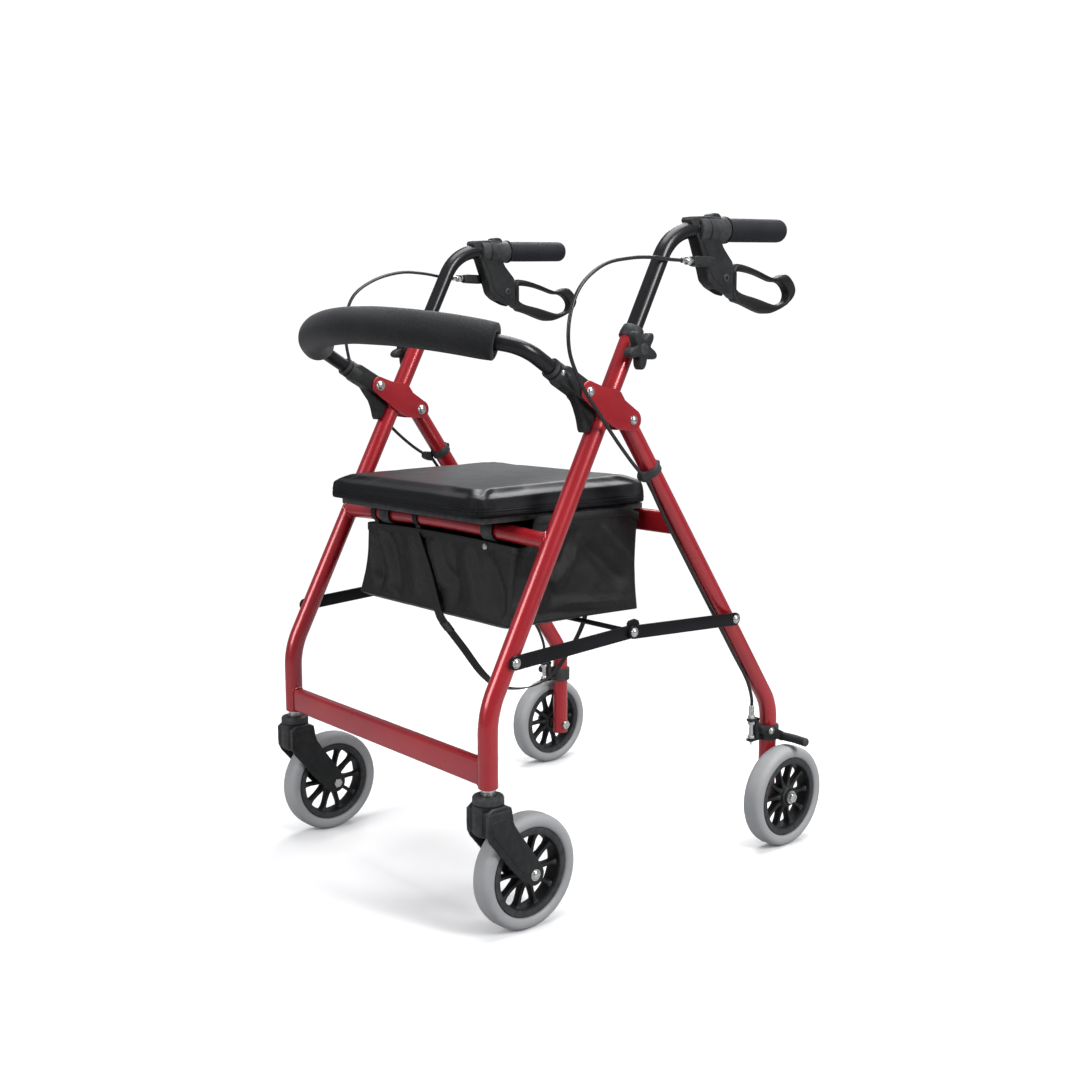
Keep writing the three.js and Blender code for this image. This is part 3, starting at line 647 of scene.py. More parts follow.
def spaced(points, count):
    lengths = [0.0]
    for a, b in zip(points, points[1:]):
        lengths.append(lengths[-1] + (b - a).length)
    out, k = [], 0
    for i in range(count + 1):
        want = lengths[-1] * i / count
        while k < len(points) - 2 and lengths[k + 1] < want:
            k += 1
        share = (want - lengths[k]) / max(lengths[k + 1] - lengths[k], 1e-9)
        out.append(points[k].lerp(points[k + 1], share))
    return out


def length_of(points):
    return sum((b - a).length for a, b in zip(points, points[1:]))


# ---- brake cables
CABLE_R = 2.4
CABLE_SPLIT = 0.45  # the share of a cable's free bow that goes into its upper piece
CABLE_BOW = {
    "left": [
        (250.5, 292, 847), (252, 258, 848), (254, 215, 845), (257, 165, 834), (259, 125, 806),
        (261, 106, 768), (261, 106, 728), (260, 127, 688), (259, 158, 651), (256, 196, 611),
        (250, 232, 580),
    ],
    "right": [
        (250.5, 292, 848), (252, 258, 852), (254, 215, 852), (257, 166, 838), (259, 131, 814),
        (261, 118, 782), (261, 118, 738), (260, 130, 696), (259, 156, 655), (256, 194, 613),
        (250, 231, 581),
    ],
}


CABLE_STEPS = 110
CABLE_OFF_LEG = 20.2  # from a rear leg's centre line forward to its cable


def cable_route(side, hand):
    """A brake cable's line: its free bow, then down the rear leg to the brake."""
    def beside(z, x):
        return (x, rear_y(z) - CABLE_OFF_LEG, z)

    bow = spline([ADJUSTER, *CABLE_BOW[hand], beside(560, 242)], CABLE_STEPS)
    leg = [beside(520, 238), beside(300, 236), beside(250, 235.5), (LEG_X, 492.5, 222), (LEG_X, 493, 212.4)]
    points = bow + spline([bow[-1], *leg], 90)[1:]
    return [Vector((p[0] * side, p[1], p[2])) for p in points]


def cable_piece(name, node, route):
    o = tube(route, CABLE_R, 16, rim=0.3)
    o.name = o.data.name = name
    o.data.materials.append(JACKET)
    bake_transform(o)
    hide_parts(node)


def brake_cables():
    """Each cable in two pieces, split partway along its free bow."""
    for hand, side in HANDS:
        route = cable_route(side, hand)
        bow = route[: CABLE_STEPS + 1]
        middle = int(len(bow) * CABLE_SPLIT)
        upper, lower = route[: middle + 1], route[middle:]
        node, handle = f"brake_cable_{hand}", f"handle_{hand}"
        cable_piece(f"cable_upper_{hand}", node, upper)
        cable_piece(f"cable_lower_{hand}", node, lower)


brake_cables()


# ---- frame tubes
PLUG = [(0, 1.6), (7, 1.5), (11, 1.0), (12.6, 0), (11.2, -0.4), (11.2, -12), (0, -12)]


def tubes():
    """The four legs with their end plugs, the handles' tubes and the backrest's bow."""
    for hand, _, x in SIDES:
        leg = tube(front_leg_path(x), LEG_R, 40, LEG_BORE)
        place(f"leg_front_{hand}", leg, "front_frame", "red_paint", f"front_leg_{hand}")
        rear_path = rear_leg_path(x)
        leg = tube(rear_path, LEG_R, 40, LEG_BORE)
        place(f"leg_rear_{hand}", leg, "rear_frame", "red_paint", f"rear_leg_{hand}")
        for end, (tip, inner) in (("top", rear_path[:2]), ("foot", rear_path[:-3:-1])):
            plug = lathe(PLUG, tip, tip - inner, 32)
            place(f"leg_plug_{end}_{hand}", plug, "rear_frame", "black_plastic")
        bar = tube(handle_path(x), TUBE_R, 40, TUBE_BORE)
        place(f"tube_handle_{hand}", bar, f"handle_{hand}", "black_tube", f"handle_tube_{hand}")
    bow = tube(back_path(), BACK_TUBE_R, 32, BACK_BORE)
    place("tube_back", bow, "backrest", "black_tube", "backrest_tube")


tubes()

# ---- hardware
def dome(name, centre, direction, radius, height, body):
    """A domed bolt head with a washer under it, from shares of its radius and height."""
    shares = (
        (0, 1), (0.3, 0.985), (0.58, 0.88), (0.8, 0.66), (0.94, 0.36), (0.98, 0.2), (1.16, 0.2),
        (1.18, 0.1), (1.18, 0), (0, 0),
    )
    head = lathe([(r * radius, d * height) for r, d in shares], centre, direction, 32, 50)
    return place(name, head, body, "zinc_bolt")


def hex_nut(centre, direction, across, height):
    """A hexagonal nut with chamfered corners."""
    axis = Vector(direction).normalized()
    reference = Vector((0, 0, 1)) if abs(axis.z) < 0.9 else Vector((0, 1, 0))
    normal = (reference - axis * reference.dot(axis)).normalized()
    side = axis.cross(normal)
    corner = across / 2 / math.cos(math.pi / 6)
    rings = []
    for share, d in ((0.9, 0), (1, 0.12), (1, 0.88), (0.9, 1), (0.45, 1), (0.45, 0.9)):
        middle = Vector(centre) + axis * height * d
        ring = []
        for k in range(36):
            a = 2 * math.pi * k / 36
            flat = across / 2 / math.cos((a + math.pi / 6) % (math.pi / 3) - math.pi / 6)
            r = min(flat, corner * 0.985) * share
            ring.append(middle + normal * r * math.cos(a) + side * r * math.sin(a))
        rings.append(ring)
    return loft(rings, sharp=28)


# How far each one's inner and outer faces stand from the middle of the leg
FRONT_STRUT_X = (13.4, 17.4)
REAR_STRUT_X = (17.8, 21.8)
PLATE_X = (13.3, 16.3)
BOLT_SEAT = 16.5
SHANK_END = 16.6
STRUT_HALF = 9
OUTER_BOLT, INNER_BOLT = (5.4, 3.6), (6.6, 4.1)  # a head's radius and height
ROD_R, ROD_END = 3.5, 247.8
STOP_TAB = [(219, 363), (219, 375), (222, 378), (232, 379.5), (238, 377), (240, 372), (236, 364)]


def bolts():
    """The heads and shanks of the bolts that the struts, the fold and the backrest turn on."""
    for hand, side, x in SIDES:
        for label, at, start, body in (
            ("strut_front", STRUT_A, FRONT_STRUT_X[1], "front_link"),
            ("strut_middle", STRUT_B, REAR_STRUT_X[1], "rear_link"),
            ("strut_rear", STRUT_C, REAR_STRUT_X[1], "rear_link"),
            ("fold", PIVOT, BOLT_SEAT, "front_frame"),
            ("backrest", BACK_PIVOT, BOLT_SEAT, "backrest"),
        ):
            dome(f"bolt_{label}_{hand}", (x + side * start, *at), (side, 0, 0), *OUTER_BOLT, body)
        for label, at, body, nodes in (
            ("fold", PIVOT, "front_frame", [f"pivot_bolt_{hand}"]), ("backrest", BACK_PIVOT, "backrest", []),
        ):
            dome(f"bolt_{label}_inner_{hand}", (x - side * BOLT_SEAT, *at), (-side, 0, 0), *INNER_BOLT, body)
            shank = tube([(x - SHANK_END, *at), (x + SHANK_END, *at)], 4, 16)
            place(f"shank_{label}_{hand}", shank, body, "zinc_bolt", *nodes)


def struts():
    """The folding struts, their spacers and washers, and the lock rod between them."""
    for hand, side, x in SIDES:
        out = (side, 0, 0)
        bar = side_slab(stadium(STRUT_A, STRUT_B, STRUT_HALF), x, side, FRONT_STRUT_X, 0.7)
        bar = merge(bar, side_slab(STOP_TAB, x, side, FRONT_STRUT_X, 0.7))
        place(f"strut_front_bar_{hand}", bar, "front_link", "black_tube", f"front_strut_{hand}", look=SATIN)
        bar = side_slab(stadium(STRUT_B, STRUT_C, STRUT_HALF), x, side, REAR_STRUT_X, 0.7)
        spacer = lathe([(7, 12.9), (7, 18), (0, 18), (0, 12.9), (7, 12.9)], (x, *STRUT_C), out, 32)
        bar = merge(bar, spacer)
        place(f"strut_rear_bar_{hand}", bar, "rear_link", "black_tube", f"rear_strut_{hand}", look=SATIN)
        washer = lathe([(0, 12.9), (8, 12.9), (8, 13.3), (0, 13.3)], (x, *STRUT_A), out, 32)
        place(f"washer_a_{hand}", washer, "front_link", "black_plastic")
    rod = tube([(-ROD_END, *STRUT_B), (ROD_END, *STRUT_B)], ROD_R, 24)
    place("rod_lock", rod, "front_link", "black_tube", "lock_rod", look=SATIN)


bolts()
struts()


# ---- side plates, hinge blocks, collars, knobs
def side_plates():
    """A plate on each face of the front leg's head, and the web between the two."""
    outline = arc(BACK_PIVOT, 13.5, 225, 88, 14)
    outline += [(160, 689), (172, 685), (184, 683), (196, 681.5), (204, 677), (211, 667)]
    outline += arc(PIVOT, 14, 68, -95, 16)
    outline += [(213, 627.8), (202, 629.5), (190, 634), (178, 641), (164, 652), (151, 661)]
    web = [(207, 663), (212, 659.5), (214.5, 662), (209.5, 667)]
    for hand, _, x in SIDES:
        parts = [side_slab(outline, x, k, PLATE_X, 0.7) for k in (-1, 1)]
        parts.append(slab(web, x - PLATE_X[0], x + PLATE_X[0], 0.3))
        place(f"plate_side_{hand}", merge(*parts), "front_frame", "red_paint", f"side_plate_{hand}")


HINGE_FRONT = (116, 698)
HINGE_FOOT = [
    (156.5, 627), (164, 640), (171, 655), (165, 670), (150, 684), (120, 686), (131, 674), (139, 660),
    (145, 645), (149, 627),
]
HINGE_SOCKET = [
    (10.1, 14), (13.6, 14), (13.6, 30), (12.8, 31), (12.8, 33), (13.6, 34), (13.4, 38), (10.1, 38),
    (10.1, 14),
]


def hinge_blocks():
    """The plastic blocks that carry the backrest's tube, each an arm, a fin below it and a socket."""
    for hand, side, x in SIDES:
        arm = slab(stadium(BACK_PIVOT, HINGE_FRONT, 13), x - 12.8, x + 12.8, 3)
        fin = slab(soften(HINGE_FOOT, 2, 0.16), x - 8, x + 8, 3.2, steps=5)
        line = back_path()[::-side]
        end, before = line[0], line[1]
        away = (before - end).normalized()
        block = merge(arm, fin, lathe(HINGE_SOCKET, end, away, 40))
        place(f"block_hinge_{hand}", block, "backrest", "black_plastic", f"hinge_block_{hand}")
        spot = end + away * 26 + Vector((side * 13, 0, 0))
        dome(f"screw_block_{hand}", spot, (side, 0, 0), 3.2, 2.0, "backrest")


CLIP_Z = 574


def cable_clips():
    """A band round each rear leg, with a lug that holds the brake cable."""
    band_profile = [(12.9, -6), (14.4, -6), (14.8, -5.4), (14.8, 5.4), (14.4, 6), (12.9, 6), (12.9, -6)]
    lug = soften([(262, 556), (245, 562), (246, 573), (262, 572)], 2, 0.2)
    bump = soften([(283, 575), (290, 578), (289, 586), (280, 585)], 2, 0.2)
    for hand, side, x in SIDES:
        ring = lathe(band_profile, (x, rear_y(CLIP_Z), CLIP_Z), (0, -REAR_SLOPE, 1), 48)
        clip = merge(ring, side_slab(lug, x, side, (3, 14), 1.2), slab(bump, x - 3, x + 3, 0.8))
        place(f"clip_{hand}", clip, "rear_frame", "black_plastic")


COLLAR = [
    (11.3, 0.4), (11.3, 10.5), (11.7, 12), (13.0, 12.2), (14.0, 11), (15.2, 4.6), (15.6, 2.4), (15.6, -3.2),
    (15.0, -4.2), (13.2, -4.2), (13.2, 0.4), (11.3, 0.4),
]
KNOB_BOSS = [(0, 13.1), (9, 13.1), (8.6, 14.5), (7.8, 18.6), (9.5, 20.6), (9.5, 22), (0, 22)]
KNOB_CAP = [(0, 33), (7.4, 33), (7.4, 34.2), (6.6, 35), (0, 35.3)]
KNOB_LOBES, KNOB_TURN = 5, 1.9
KNOB_WAIST, KNOB_REACH = 13.4, 12.4


def collars():
    """The collar where each handle's tube goes into its leg."""
    for hand, _, x in SIDES:
        collar = lathe(COLLAR, on_leg(x, 0), (0, math.sin(LEAN), math.cos(LEAN)), 48)
        place(f"collar_{hand}", collar, "front_frame", "black_plastic", f"tube_collar_{hand}")


def knobs():
    """The five-lobed knobs that clamp the handles' height."""
    _, y, z = on_leg(0, -KNOB_BELOW_TOP)
    star = []
    for i in range(100):
        a = 2 * math.pi * i / 100
        lobe = 0.5 + 0.5 * math.cos(KNOB_LOBES * a + KNOB_TURN)
        r = KNOB_WAIST + KNOB_REACH * lobe**0.95
        star.append((y + r * math.cos(a), z + r * math.sin(a)))
    for hand, side, x in SIDES:
        parts = [side_slab(star, x, side, (20, 34), 2.6, steps=4)]
        parts += [lathe(profile, (x, y, z), (side, 0, 0), 40) for profile in (KNOB_BOSS, KNOB_CAP)]
        place(f"knob_{hand}", merge(*parts), f"knob_{hand}", "black_plastic", f"star_knob_{hand}", look=KNOB)


side_plates()
hinge_blocks()
collars()
knobs()
cable_clips()


# ---- wheels and casters
TYRE_HALF = [
    (58.7, 12.2), (60, 13.9), (62.5, 15.0), (66, 15.5), (69.3, 15.1), (71.8, 13.7), (73.6, 11.4),
    (74.6, 8.6), (75, 5.4),
]
SPOKES = 10
SPOKE_SECTIONS = (  # how far out, width and thickness
    (11, 10, 22), (16, 7.4, 17), (22, 6, 13), (32, 5.2, 11), (41, 5.4, 11.5), (45.5, 7.4, 13),
    (48.6, 11, 15),
)
RIM = [
    (58.2, -11.6), (58.2, 11.6), (57, 13), (50.6, 13), (49.4, 12.4), (48.2, 9), (47.8, 6), (47.8, -6),
    (48.2, -9), (49.4, -12.4), (50.6, -13), (57, -13), (58.2, -11.6),
]


def tyre(centre):
    profile = [(r, -d) for r, d in TYRE_HALF] + [(WHEEL_R, 0)] + TYRE_HALF[::-1]
    return lathe(profile + [(TYRE_HALF[0][0], -TYRE_HALF[0][1])], centre, (1, 0, 0), 96, 60)


def spoke(centre, turn):
    """One spoke, thicker at the core and at the rim."""
    c, s = math.cos(turn), math.sin(turn)
    rings = []
    for r, wide, thick in SPOKE_SECTIONS:
        ring = []
        for k in range(20):
            a = 2 * math.pi * k / 20
            dx = math.copysign(abs(math.cos(a)) ** 0.45, math.cos(a)) * thick / 2
            dt = math.copysign(abs(math.sin(a)) ** 0.45, math.sin(a)) * wide / 2
            ring.append((centre[0] + dx, centre[1] + r * c - dt * s, centre[2] + r * s + dt * c))
        rings.append(ring)
    return loft(rings, sharp=60)


def hub(centre, core_half, bore):
    """A wheel's rim, core and spokes."""
    half = [(bore, 0), (10, 0), (10.6, 0.6), (10.6, 1.6), (13.6, 2), (15, 3.6)]
    core = [(r, d - core_half) for r, d in half] + [(r, core_half - d) for r, d in half[::-1]]
    core.append(core[0])
    parts = [lathe(RIM, centre, (1, 0, 0), 96), lathe(core, centre, (1, 0, 0), 48)]
    parts += [spoke(centre, (i + 0.5) * 2 * math.pi / SPOKES + math.pi / 2) for i in range(SPOKES)]
    return merge(*parts)


def wheels():
    """A tyre and a spoked hub for each of the four wheels."""
    for hand, side in HANDS:
        for end, x, y, half, bore in (
            ("front", LEG_X, FRONT_AXLE_Y, 17, 4.6), ("rear", REAR_WHEEL_X, REAR_Y, 16.5, 5.7),
        ):
            centre = (side * x, y, WHEEL_R)
            body = f"{end}_wheel_{hand}"
            place(f"tyre_{end}_{hand}", tyre(centre), body, "grey_tyre", f"{end}_tyre_{hand}")
            place(f"hub_{end}_{hand}", hub(centre, half, bore), body, "black_plastic", f"{end}_hub_{hand}")


FORK_HOUSING = [
    (0, 137), (16, 137), (19.4, 139), (20, 142), (20, 176.4), (19.2, 176.8), (19.2, 177.8), (20, 178.2),
    (20, 184.4), (19, 186.4), (17.4, 187), (9.5, 187), (9.5, 183), (0, 183),
]
FORK_CROWN = [(-20, 176), (-20.4, 150), (-19, 137), (10, 133), (27, 137), (20, 156), (17, 176)]
FORK_RIB = [(-14, 160), (-14, 144), (-2, 128), (38, 78), (48, 84), (14, 146), (11, 160)]
WHEEL_SPACE = [(0, -17.6), (79, -17.6), (80, -16.6), (80, 16.6), (79, 17.6), (0, 17.6)]
STEM = [
    (0, 152), (5.8, 152), (6, 153), (6, 186), (9.2, 187.4), (9.4, 188.2), (9.4, 189.8), (7.2, 190.2),
    (7.2, 191), (9.0, 191.4), (9.2, 192), (9.2, 194.8), (8.4, 195.6), (7, 195.8), (7, 198), (0, 198),
]


def fork(hand, x):
    """A caster's fork: a round housing, a crown, two blades and a rib on each."""
    blade = [(-20.6, 170), (-21, 152), (-20.2, 141), (-16, 132), (-6, 120), (18, 90), (36, 70)]
    blade += arc((FRONT_AXLE_Y, WHEEL_R), 14.5, 215, 395, 14)
    blade += [(58, 97), (43, 118), (30, 136), (21, 150), (17.5, 170)]
    housing = lathe(FORK_HOUSING, (x, STEM_Y, 0), (0, 0, 1), 56)
    crown = slab(soften(FORK_CROWN, 1, 0.2), x - 21.6, x + 21.6, 2.2)
    space = lathe(WHEEL_SPACE, (x, FRONT_AXLE_Y, WHEEL_R), (1, 0, 0), 96)
    body = combine(combine(housing, "UNION", crown), "DIFFERENCE", space)
    blades = [side_slab(blade, x, k, (17.6, 22), 1.3) for k in (-1, 1)]
    ribs = [side_slab(soften(FORK_RIB, 2, 0.18), x, k, (21, 22.7), 0.6) for k in (-1, 1)]
    whole = merge(body, *blades, *ribs)
    place(f"fork_{hand}", whole, f"caster_{hand}", "black_plastic", f"caster_fork_{hand}")


def front_axle(hand, side, x):
    spots = [(x + d, FRONT_AXLE_Y, WHEEL_R) for d in (-22, 22, -side * 22.1, side * 22)]
    nut = hex_nut(spots[2], (-side, 0, 0), 12.4, 4.2)
    axle = merge(tube(spots[:2], 4, 16), nut)
    place(f"axle_front_{hand}", axle, f"caster_{hand}", "zinc_bolt", f"front_axle_{hand}")
    dome(f"bolt_axle_front_{hand}", spots[3], (side, 0, 0), 6.4, 3.8, f"caster_{hand}")


def rear_axle(hand, side, x):
    """The rear wheel's bolt with its head, nut, washer and spacer, through the rear leg."""
    head, nut, end = [(x + side * d, REAR_Y, WHEEL_R) for d in (-13.2, 47.8, 51)]
    parts = [tube([head, end], 5, 20)]
    parts += [hex_nut(head, (-side, 0, 0), 14, 4.4), hex_nut(nut, (side, 0, 0), 13.4, 5)]
    for r, near, far in ((9.6, 47.6, 48.4), (8.4, 12.8, 14.2)):
        ring = [(5, near), (r, near), (r, far), (5, far), (5, near)]
        parts.append(lathe(ring, (x, REAR_Y, WHEEL_R), (side, 0, 0), 40))
    place(f"axle_rear_{hand}", merge(*parts), "rear_frame", "zinc_bolt", f"rear_axle_{hand}")


def casters():
    """Each side's fork, stem and front axle, and its rear axle."""
    for hand, side, x in SIDES:
        fork(hand, x)
        stem = lathe(STEM, (x, STEM_Y, 0), (0, 0, 1), 40)
        place(f"stem_{hand}", stem, "front_frame", "zinc_bolt", f"caster_stem_{hand}")
        front_axle(hand, side, x)
        rear_axle(hand, side, x)


wheels()
casters()


# ---- handles, levers, brakes
GRIP_PROFILE = [
    (11.3, 101.6), (17.6, 101.6), (18.2, 102.2), (18.2, 104), (17.4, 105), (16, 105.6), (15.8, 112),
    (16, 125), (16, 200), (16, 214), (15.6, 218), (14.2, 221), (11.6, 222.6), (7, 223), (0, 223),
    (0, 219.5), (11.3, 219.5), (11.3, 101.6),
]
HOUSING = [
    (333, 905), (365, 908), (398.5, 908.5), (396.5, 877.5), (401, 869), (412, 858), (420.5, 850),
    (422.5, 836), (422.5, 818), (418, 804.5), (404, 806.5), (382, 815), (371, 823.5), (366, 838),
    (358, 857), (349, 879),
]
HOUSING_BARREL = [
    (11.4, 45), (16.6, 45), (17.5, 46), (17.5, 60), (17.0, 60.6), (17.0, 62), (17.5, 62.6), (17.5, 99.6),
    (16.8, 100.6), (11.4, 100.6), (11.4, 45),
]
HOUSING_PANEL = [
    (345, 897), (389, 899), (387, 877), (395, 862), (410, 849), (413, 822), (404, 815), (386, 822),
    (376, 832), (373, 846), (360, 872),
]
HOUSING_NOSE = [(332.4, 840.2), (332.4, 853.8), (372, 854), (372, 840)]
HOUSING_RIDGE = [(372, 902), (378, 911.6), (384, 913.4), (392, 913.4), (397, 910), (399, 902)]
LEVER_SLOT = [(388, 780), (450, 780), (450, 856), (388, 856)]
LEVER_SCREW = [(0, 10.6), (5.6, 10.6), (5.6, 11.6), (4.8, 12.2), (2.4, 12.3), (2.2, 11.6), (0, 11.6)]
LEVER_LOOP = [
    (424, 849), (447, 848.5), (479, 841.5), (500, 835), (512, 832.5), (521, 833.5), (532, 838), (542, 839),
    (551, 833.5), (559, 825), (562, 815.5), (556, 804.5), (539, 793.5), (522, 787), (506, 782.5),
    (490, 782.5), (470, 788), (449, 794.5), (424, 799),
]
LEVER_HOLE = [
    (427, 838), (450, 839.4), (474, 836.5), (494.7, 831.5), (511, 827), (526, 827.6), (538, 822),
    (546, 811), (541, 800), (531.5, 797), (516.9, 794), (475.3, 803.6), (445, 808), (430, 815),
]
LEVER_ROOT = [(396, 836), (412, 843), (428, 847), (434, 839), (434, 808), (428, 800), (400, 818)]


def hand_grip(hand, x):
    grip = lathe(GRIP_PROFILE, on_leg(x, HANDLE_CORNER), HANDLE_ALONG, 56)
    place(f"grip_{hand}", grip, f"handle_{hand}", "grip", f"hand_grip_{hand}")


def lever_housing(hand, side, x):
    """The slotted shell, the barrel round the tube, the panels, the ridge and the cable's nose."""
    shell = slab(soften(HOUSING, 1, 0.14), x - 10, x + 10, 2.4)
    combine(shell, "DIFFERENCE", slab(LEVER_SLOT, x - 6.4, x + 6.4, 0.3))
    barrel = lathe(HOUSING_BARREL, on_leg(x, HANDLE_CORNER), HANDLE_ALONG, 56)
    nose = side_slab(soften(HOUSING_NOSE, 2, 0.12), x, side, (8, 20.6), 1.4)
    ridge = slab(soften(HOUSING_RIDGE, 2, 0.2), x - 8, x + 8, 2)
    panels = [side_slab(soften(HOUSING_PANEL, 2, 0.2), x, k, (9.4, 10.8), 0.55) for k in (-1, 1)]
    housing = merge(shell, barrel, nose, ridge, *panels)
    place(f"housing_lever_{hand}", housing, f"handle_{hand}", "black_plastic", f"lever_housing_{hand}")
    for k in (-1, 1):
        screw = lathe(LEVER_SCREW, (x, *LEVER_PIVOT), (k, 0, 0), 32)
        place(f"screw_lever_{k + 1}_{hand}", screw, f"handle_{hand}", "black_plastic")


def brake_lever(hand, x):
    loop = slab(soften(LEVER_LOOP, 2, 0.24), x - 8, x + 8, 3.8, (soften(LEVER_HOLE, 2, 0.24),), 5)
    root = slab(soften(LEVER_ROOT, 1, 0.15), x - 5.8, x + 5.8, 1.6)
    place(f"lever_{hand}", merge(loop, root), f"lever_{hand}", "black_plastic", f"brake_lever_{hand}")


def cable_adjuster(hand, side):
    """The barrel adjuster and its nut, where the cable leaves the housing."""
    profile = [(0, 311.4), (3.0, 311.4), (3.6, 312), (3.6, 319)]
    profile += [(3.5 - 0.35 * (k % 2), 319.2 + 0.6 * k) for k in range(3)]
    profile += [(3.4, 328), (3.4, 332.4), (0, 332.4)]
    spot = Vector((side * ADJUSTER[0], 0, ADJUSTER[2]))
    nut = hex_nut(spot + Vector((0, 320.6, 0)), (0, 1, 0), 10.6, 7)
    adjuster = merge(lathe(profile, spot, (0, 1, 0), 24), nut)
    place(f"adjuster_{hand}", adjuster, f"handle_{hand}", "zinc_bolt", f"cable_adjuster_{hand}")


def handles():
    for hand, side, x in SIDES:
        hand_grip(hand, x)
        lever_housing(hand, side, x)
        brake_lever(hand, x)
        cable_adjuster(hand, side)


BRACKET_SLEEVE = [
    (12.9, 156), (15.8, 156), (16.4, 156.8), (16.4, 176.2), (15.8, 177), (12.9, 177), (12.9, 156),
]
BRACKET_CHEEK = [(499.5, 158), (505, 158), (505, 192), (499.5, 192)]
BRACKET_ARM = [(507, 167), (507, 178), (519, 180), (521, 167)]
FERRULE = [
    (0, 152), (1.2, 152), (1.2, 156), (3.2, 156.4), (3.2, 196), (4, 196.4), (4, 203), (3.6, 204), (4, 205),
    (4, 210.6), (3.2, 212), (0, 212),
]
FERRULE_Y = 493
SHOE_BAR = (541, 160.5)
SHOE_BAR_X = (18.2, 65.6)


def brake_bracket(hand, side, x):
    """A sleeve round the rear leg, two lugs and a cheek for the cable's end, and the shoe's arm."""
    parts = [lathe(BRACKET_SLEEVE, (x, REAR_Y, 0), (0, 0, 1), 48)]
    for z, y in ((158, 518), (188, 506)):
        lug = [(487.5, z), (487.5, z + 4), (y, z + 4), (y, z)]
        parts.append(slab(soften(lug, 1, 0.08), x - 5, x + 5, 0.6))
    parts.append(slab(BRACKET_CHEEK, x - 5, x + 5, 0.6))
    parts.append(side_slab(soften(BRACKET_ARM, 2, 0.2), x, side, (3, 17.5), 1))
    place(f"bracket_{hand}", merge(*parts), "rear_frame", "black_plastic", f"brake_bracket_{hand}")


def cable_end(hand, x):
    foot = (x, FERRULE_Y, 0)
    nuts = [hex_nut((x, FERRULE_Y, z), (0, 0, 1), 10, 4.4) for z in (162.4, 183.4, 192.4)]
    place(f"cable_end_{hand}", merge(lathe(FERRULE, foot, (0, 0, 1), 24), *nuts), "rear_frame", "zinc_bolt")


def brake_shoe(hand, side, x):
    """The shoe's arm and its bar, bowed a little, over the tyre."""
    y, z = SHOE_BAR
    arm = side_slab(stadium(SHOE_PIVOT, SHOE_BAR, 7), x, side, (18, 21), 0.7)
    bow = []
    for d in np.linspace(*SHOE_BAR_X, 20):
        bow.append(Vector((x + side * d, y, z + 0.9 * math.sin((d - 18) / 48 * math.pi))))
    shoe = merge(arm, tube(bow, 6.4, 32, rim=1.6))
    place(f"shoe_{hand}", shoe, f"shoe_{hand}", "black_plastic", f"brake_shoe_{hand}")
    dome(f"bolt_shoe_{hand}", (x + side * 21.2, *SHOE_PIVOT), (side, 0, 0), 4.8, 3.2, f"shoe_{hand}")


def brakes():
    for hand, side, x in SIDES:
        brake_bracket(hand, side, x)
        cable_end(hand, x)
        brake_shoe(hand, side, x)


handles()
brakes()


# ---- crossbars and welds
def weld_bead(section, leg_line, slope, side, radius):
    """A rippled bead where a bar of this outline meets a leg. leg_line gives the leg's y at a height."""
    line = []
    for y, z in section:
        off = (y - leg_line(z)) * math.cos(slope)
        line.append(Vector((side * (LEG_X - math.sqrt(max((LEG_R + 0.2) ** 2 - off * off, 4))), y, z)))
    rings = []
    for i, p in enumerate(line):
        tangent = (line[(i + 1) % len(line)] - line[i - 1]).normalized()
        normal = Vector((1, 0, 0))
        normal = (normal - tangent * normal.dot(tangent)).normalized()
        rings.append(circle((p, normal, tangent.cross(normal)), radius * (1 + 0.16 * math.sin(i * 2.1)), 10))
    return loft(rings, closed=True, sharp=0)


def rounded_rect(y0, y1, z0, z1, r, steps=5):
    return (
        arc((y1 - r, z0 + r), r, -90, 0, steps) + arc((y1 - r, z1 - r), r, 0, 90, steps)
        + arc((y0 + r, z1 - r), r, 90, 180, steps) + arc((y0 + r, z0 + r), r, 180, 270, steps)
    )


def dense(outline, step=1.6):
    out = []
    for i, a in enumerate(outline):
        b = outline[(i + 1) % len(outline)]
        n = max(1, int(math.dist(a, b) / step))
        out += [(a[0] + (b[0] - a[0]) * k / n, a[1] + (b[1] - a[1]) * k / n) for k in range(n)]
    return out


def cross_height(x):
    return CROSS_Z + CROSS_ARCH * math.cos(math.pi * x / 456)


CROSS_END = 229
CROSS_WELD_R, LOWER_WELD_R = 1.45, 1.5
BAR_END = 228
BAR_CORNER = 4
LOWER_BAR = (-10.5, 4.5, 197, 231)  # y from and to, z from and to
REAR_BAR = (324, 339, 481, 511)


def leg_y(z):
    """The front leg's y at a height on its leaning part."""
    return LEG_TOP[0] + (z - LEG_TOP[1]) * math.tan(LEAN)


def crossing():
    """The arched cross tube between the front legs, cut to fit them, with its welds."""
    arch = [(x, CROSS_Y, cross_height(x)) for x in np.linspace(-CROSS_END, CROSS_END, 49)]
    bores = [tube(front_leg_path(x), 11.5, 48) for _, _, x in SIDES]
    upper = combine(tube(arch, TUBE_R, 40), "DIFFERENCE", *bores)
    section = arc((CROSS_Y, CROSS_Z + 0.2), TUBE_R + 0.4, 0, 360, 60)[:-1]
    beads = [weld_bead(section, leg_y, LEAN, side, CROSS_WELD_R) for _, side in HANDS]
    place("tube_cross", merge(upper, *beads), "front_frame", "red_paint", "upper_cross_tube")


def flat_bar(box):
    outline = rounded_rect(*box, BAR_CORNER)
    return loft([[(x, y, z) for y, z in outline] for x in (-BAR_END, BAR_END)])


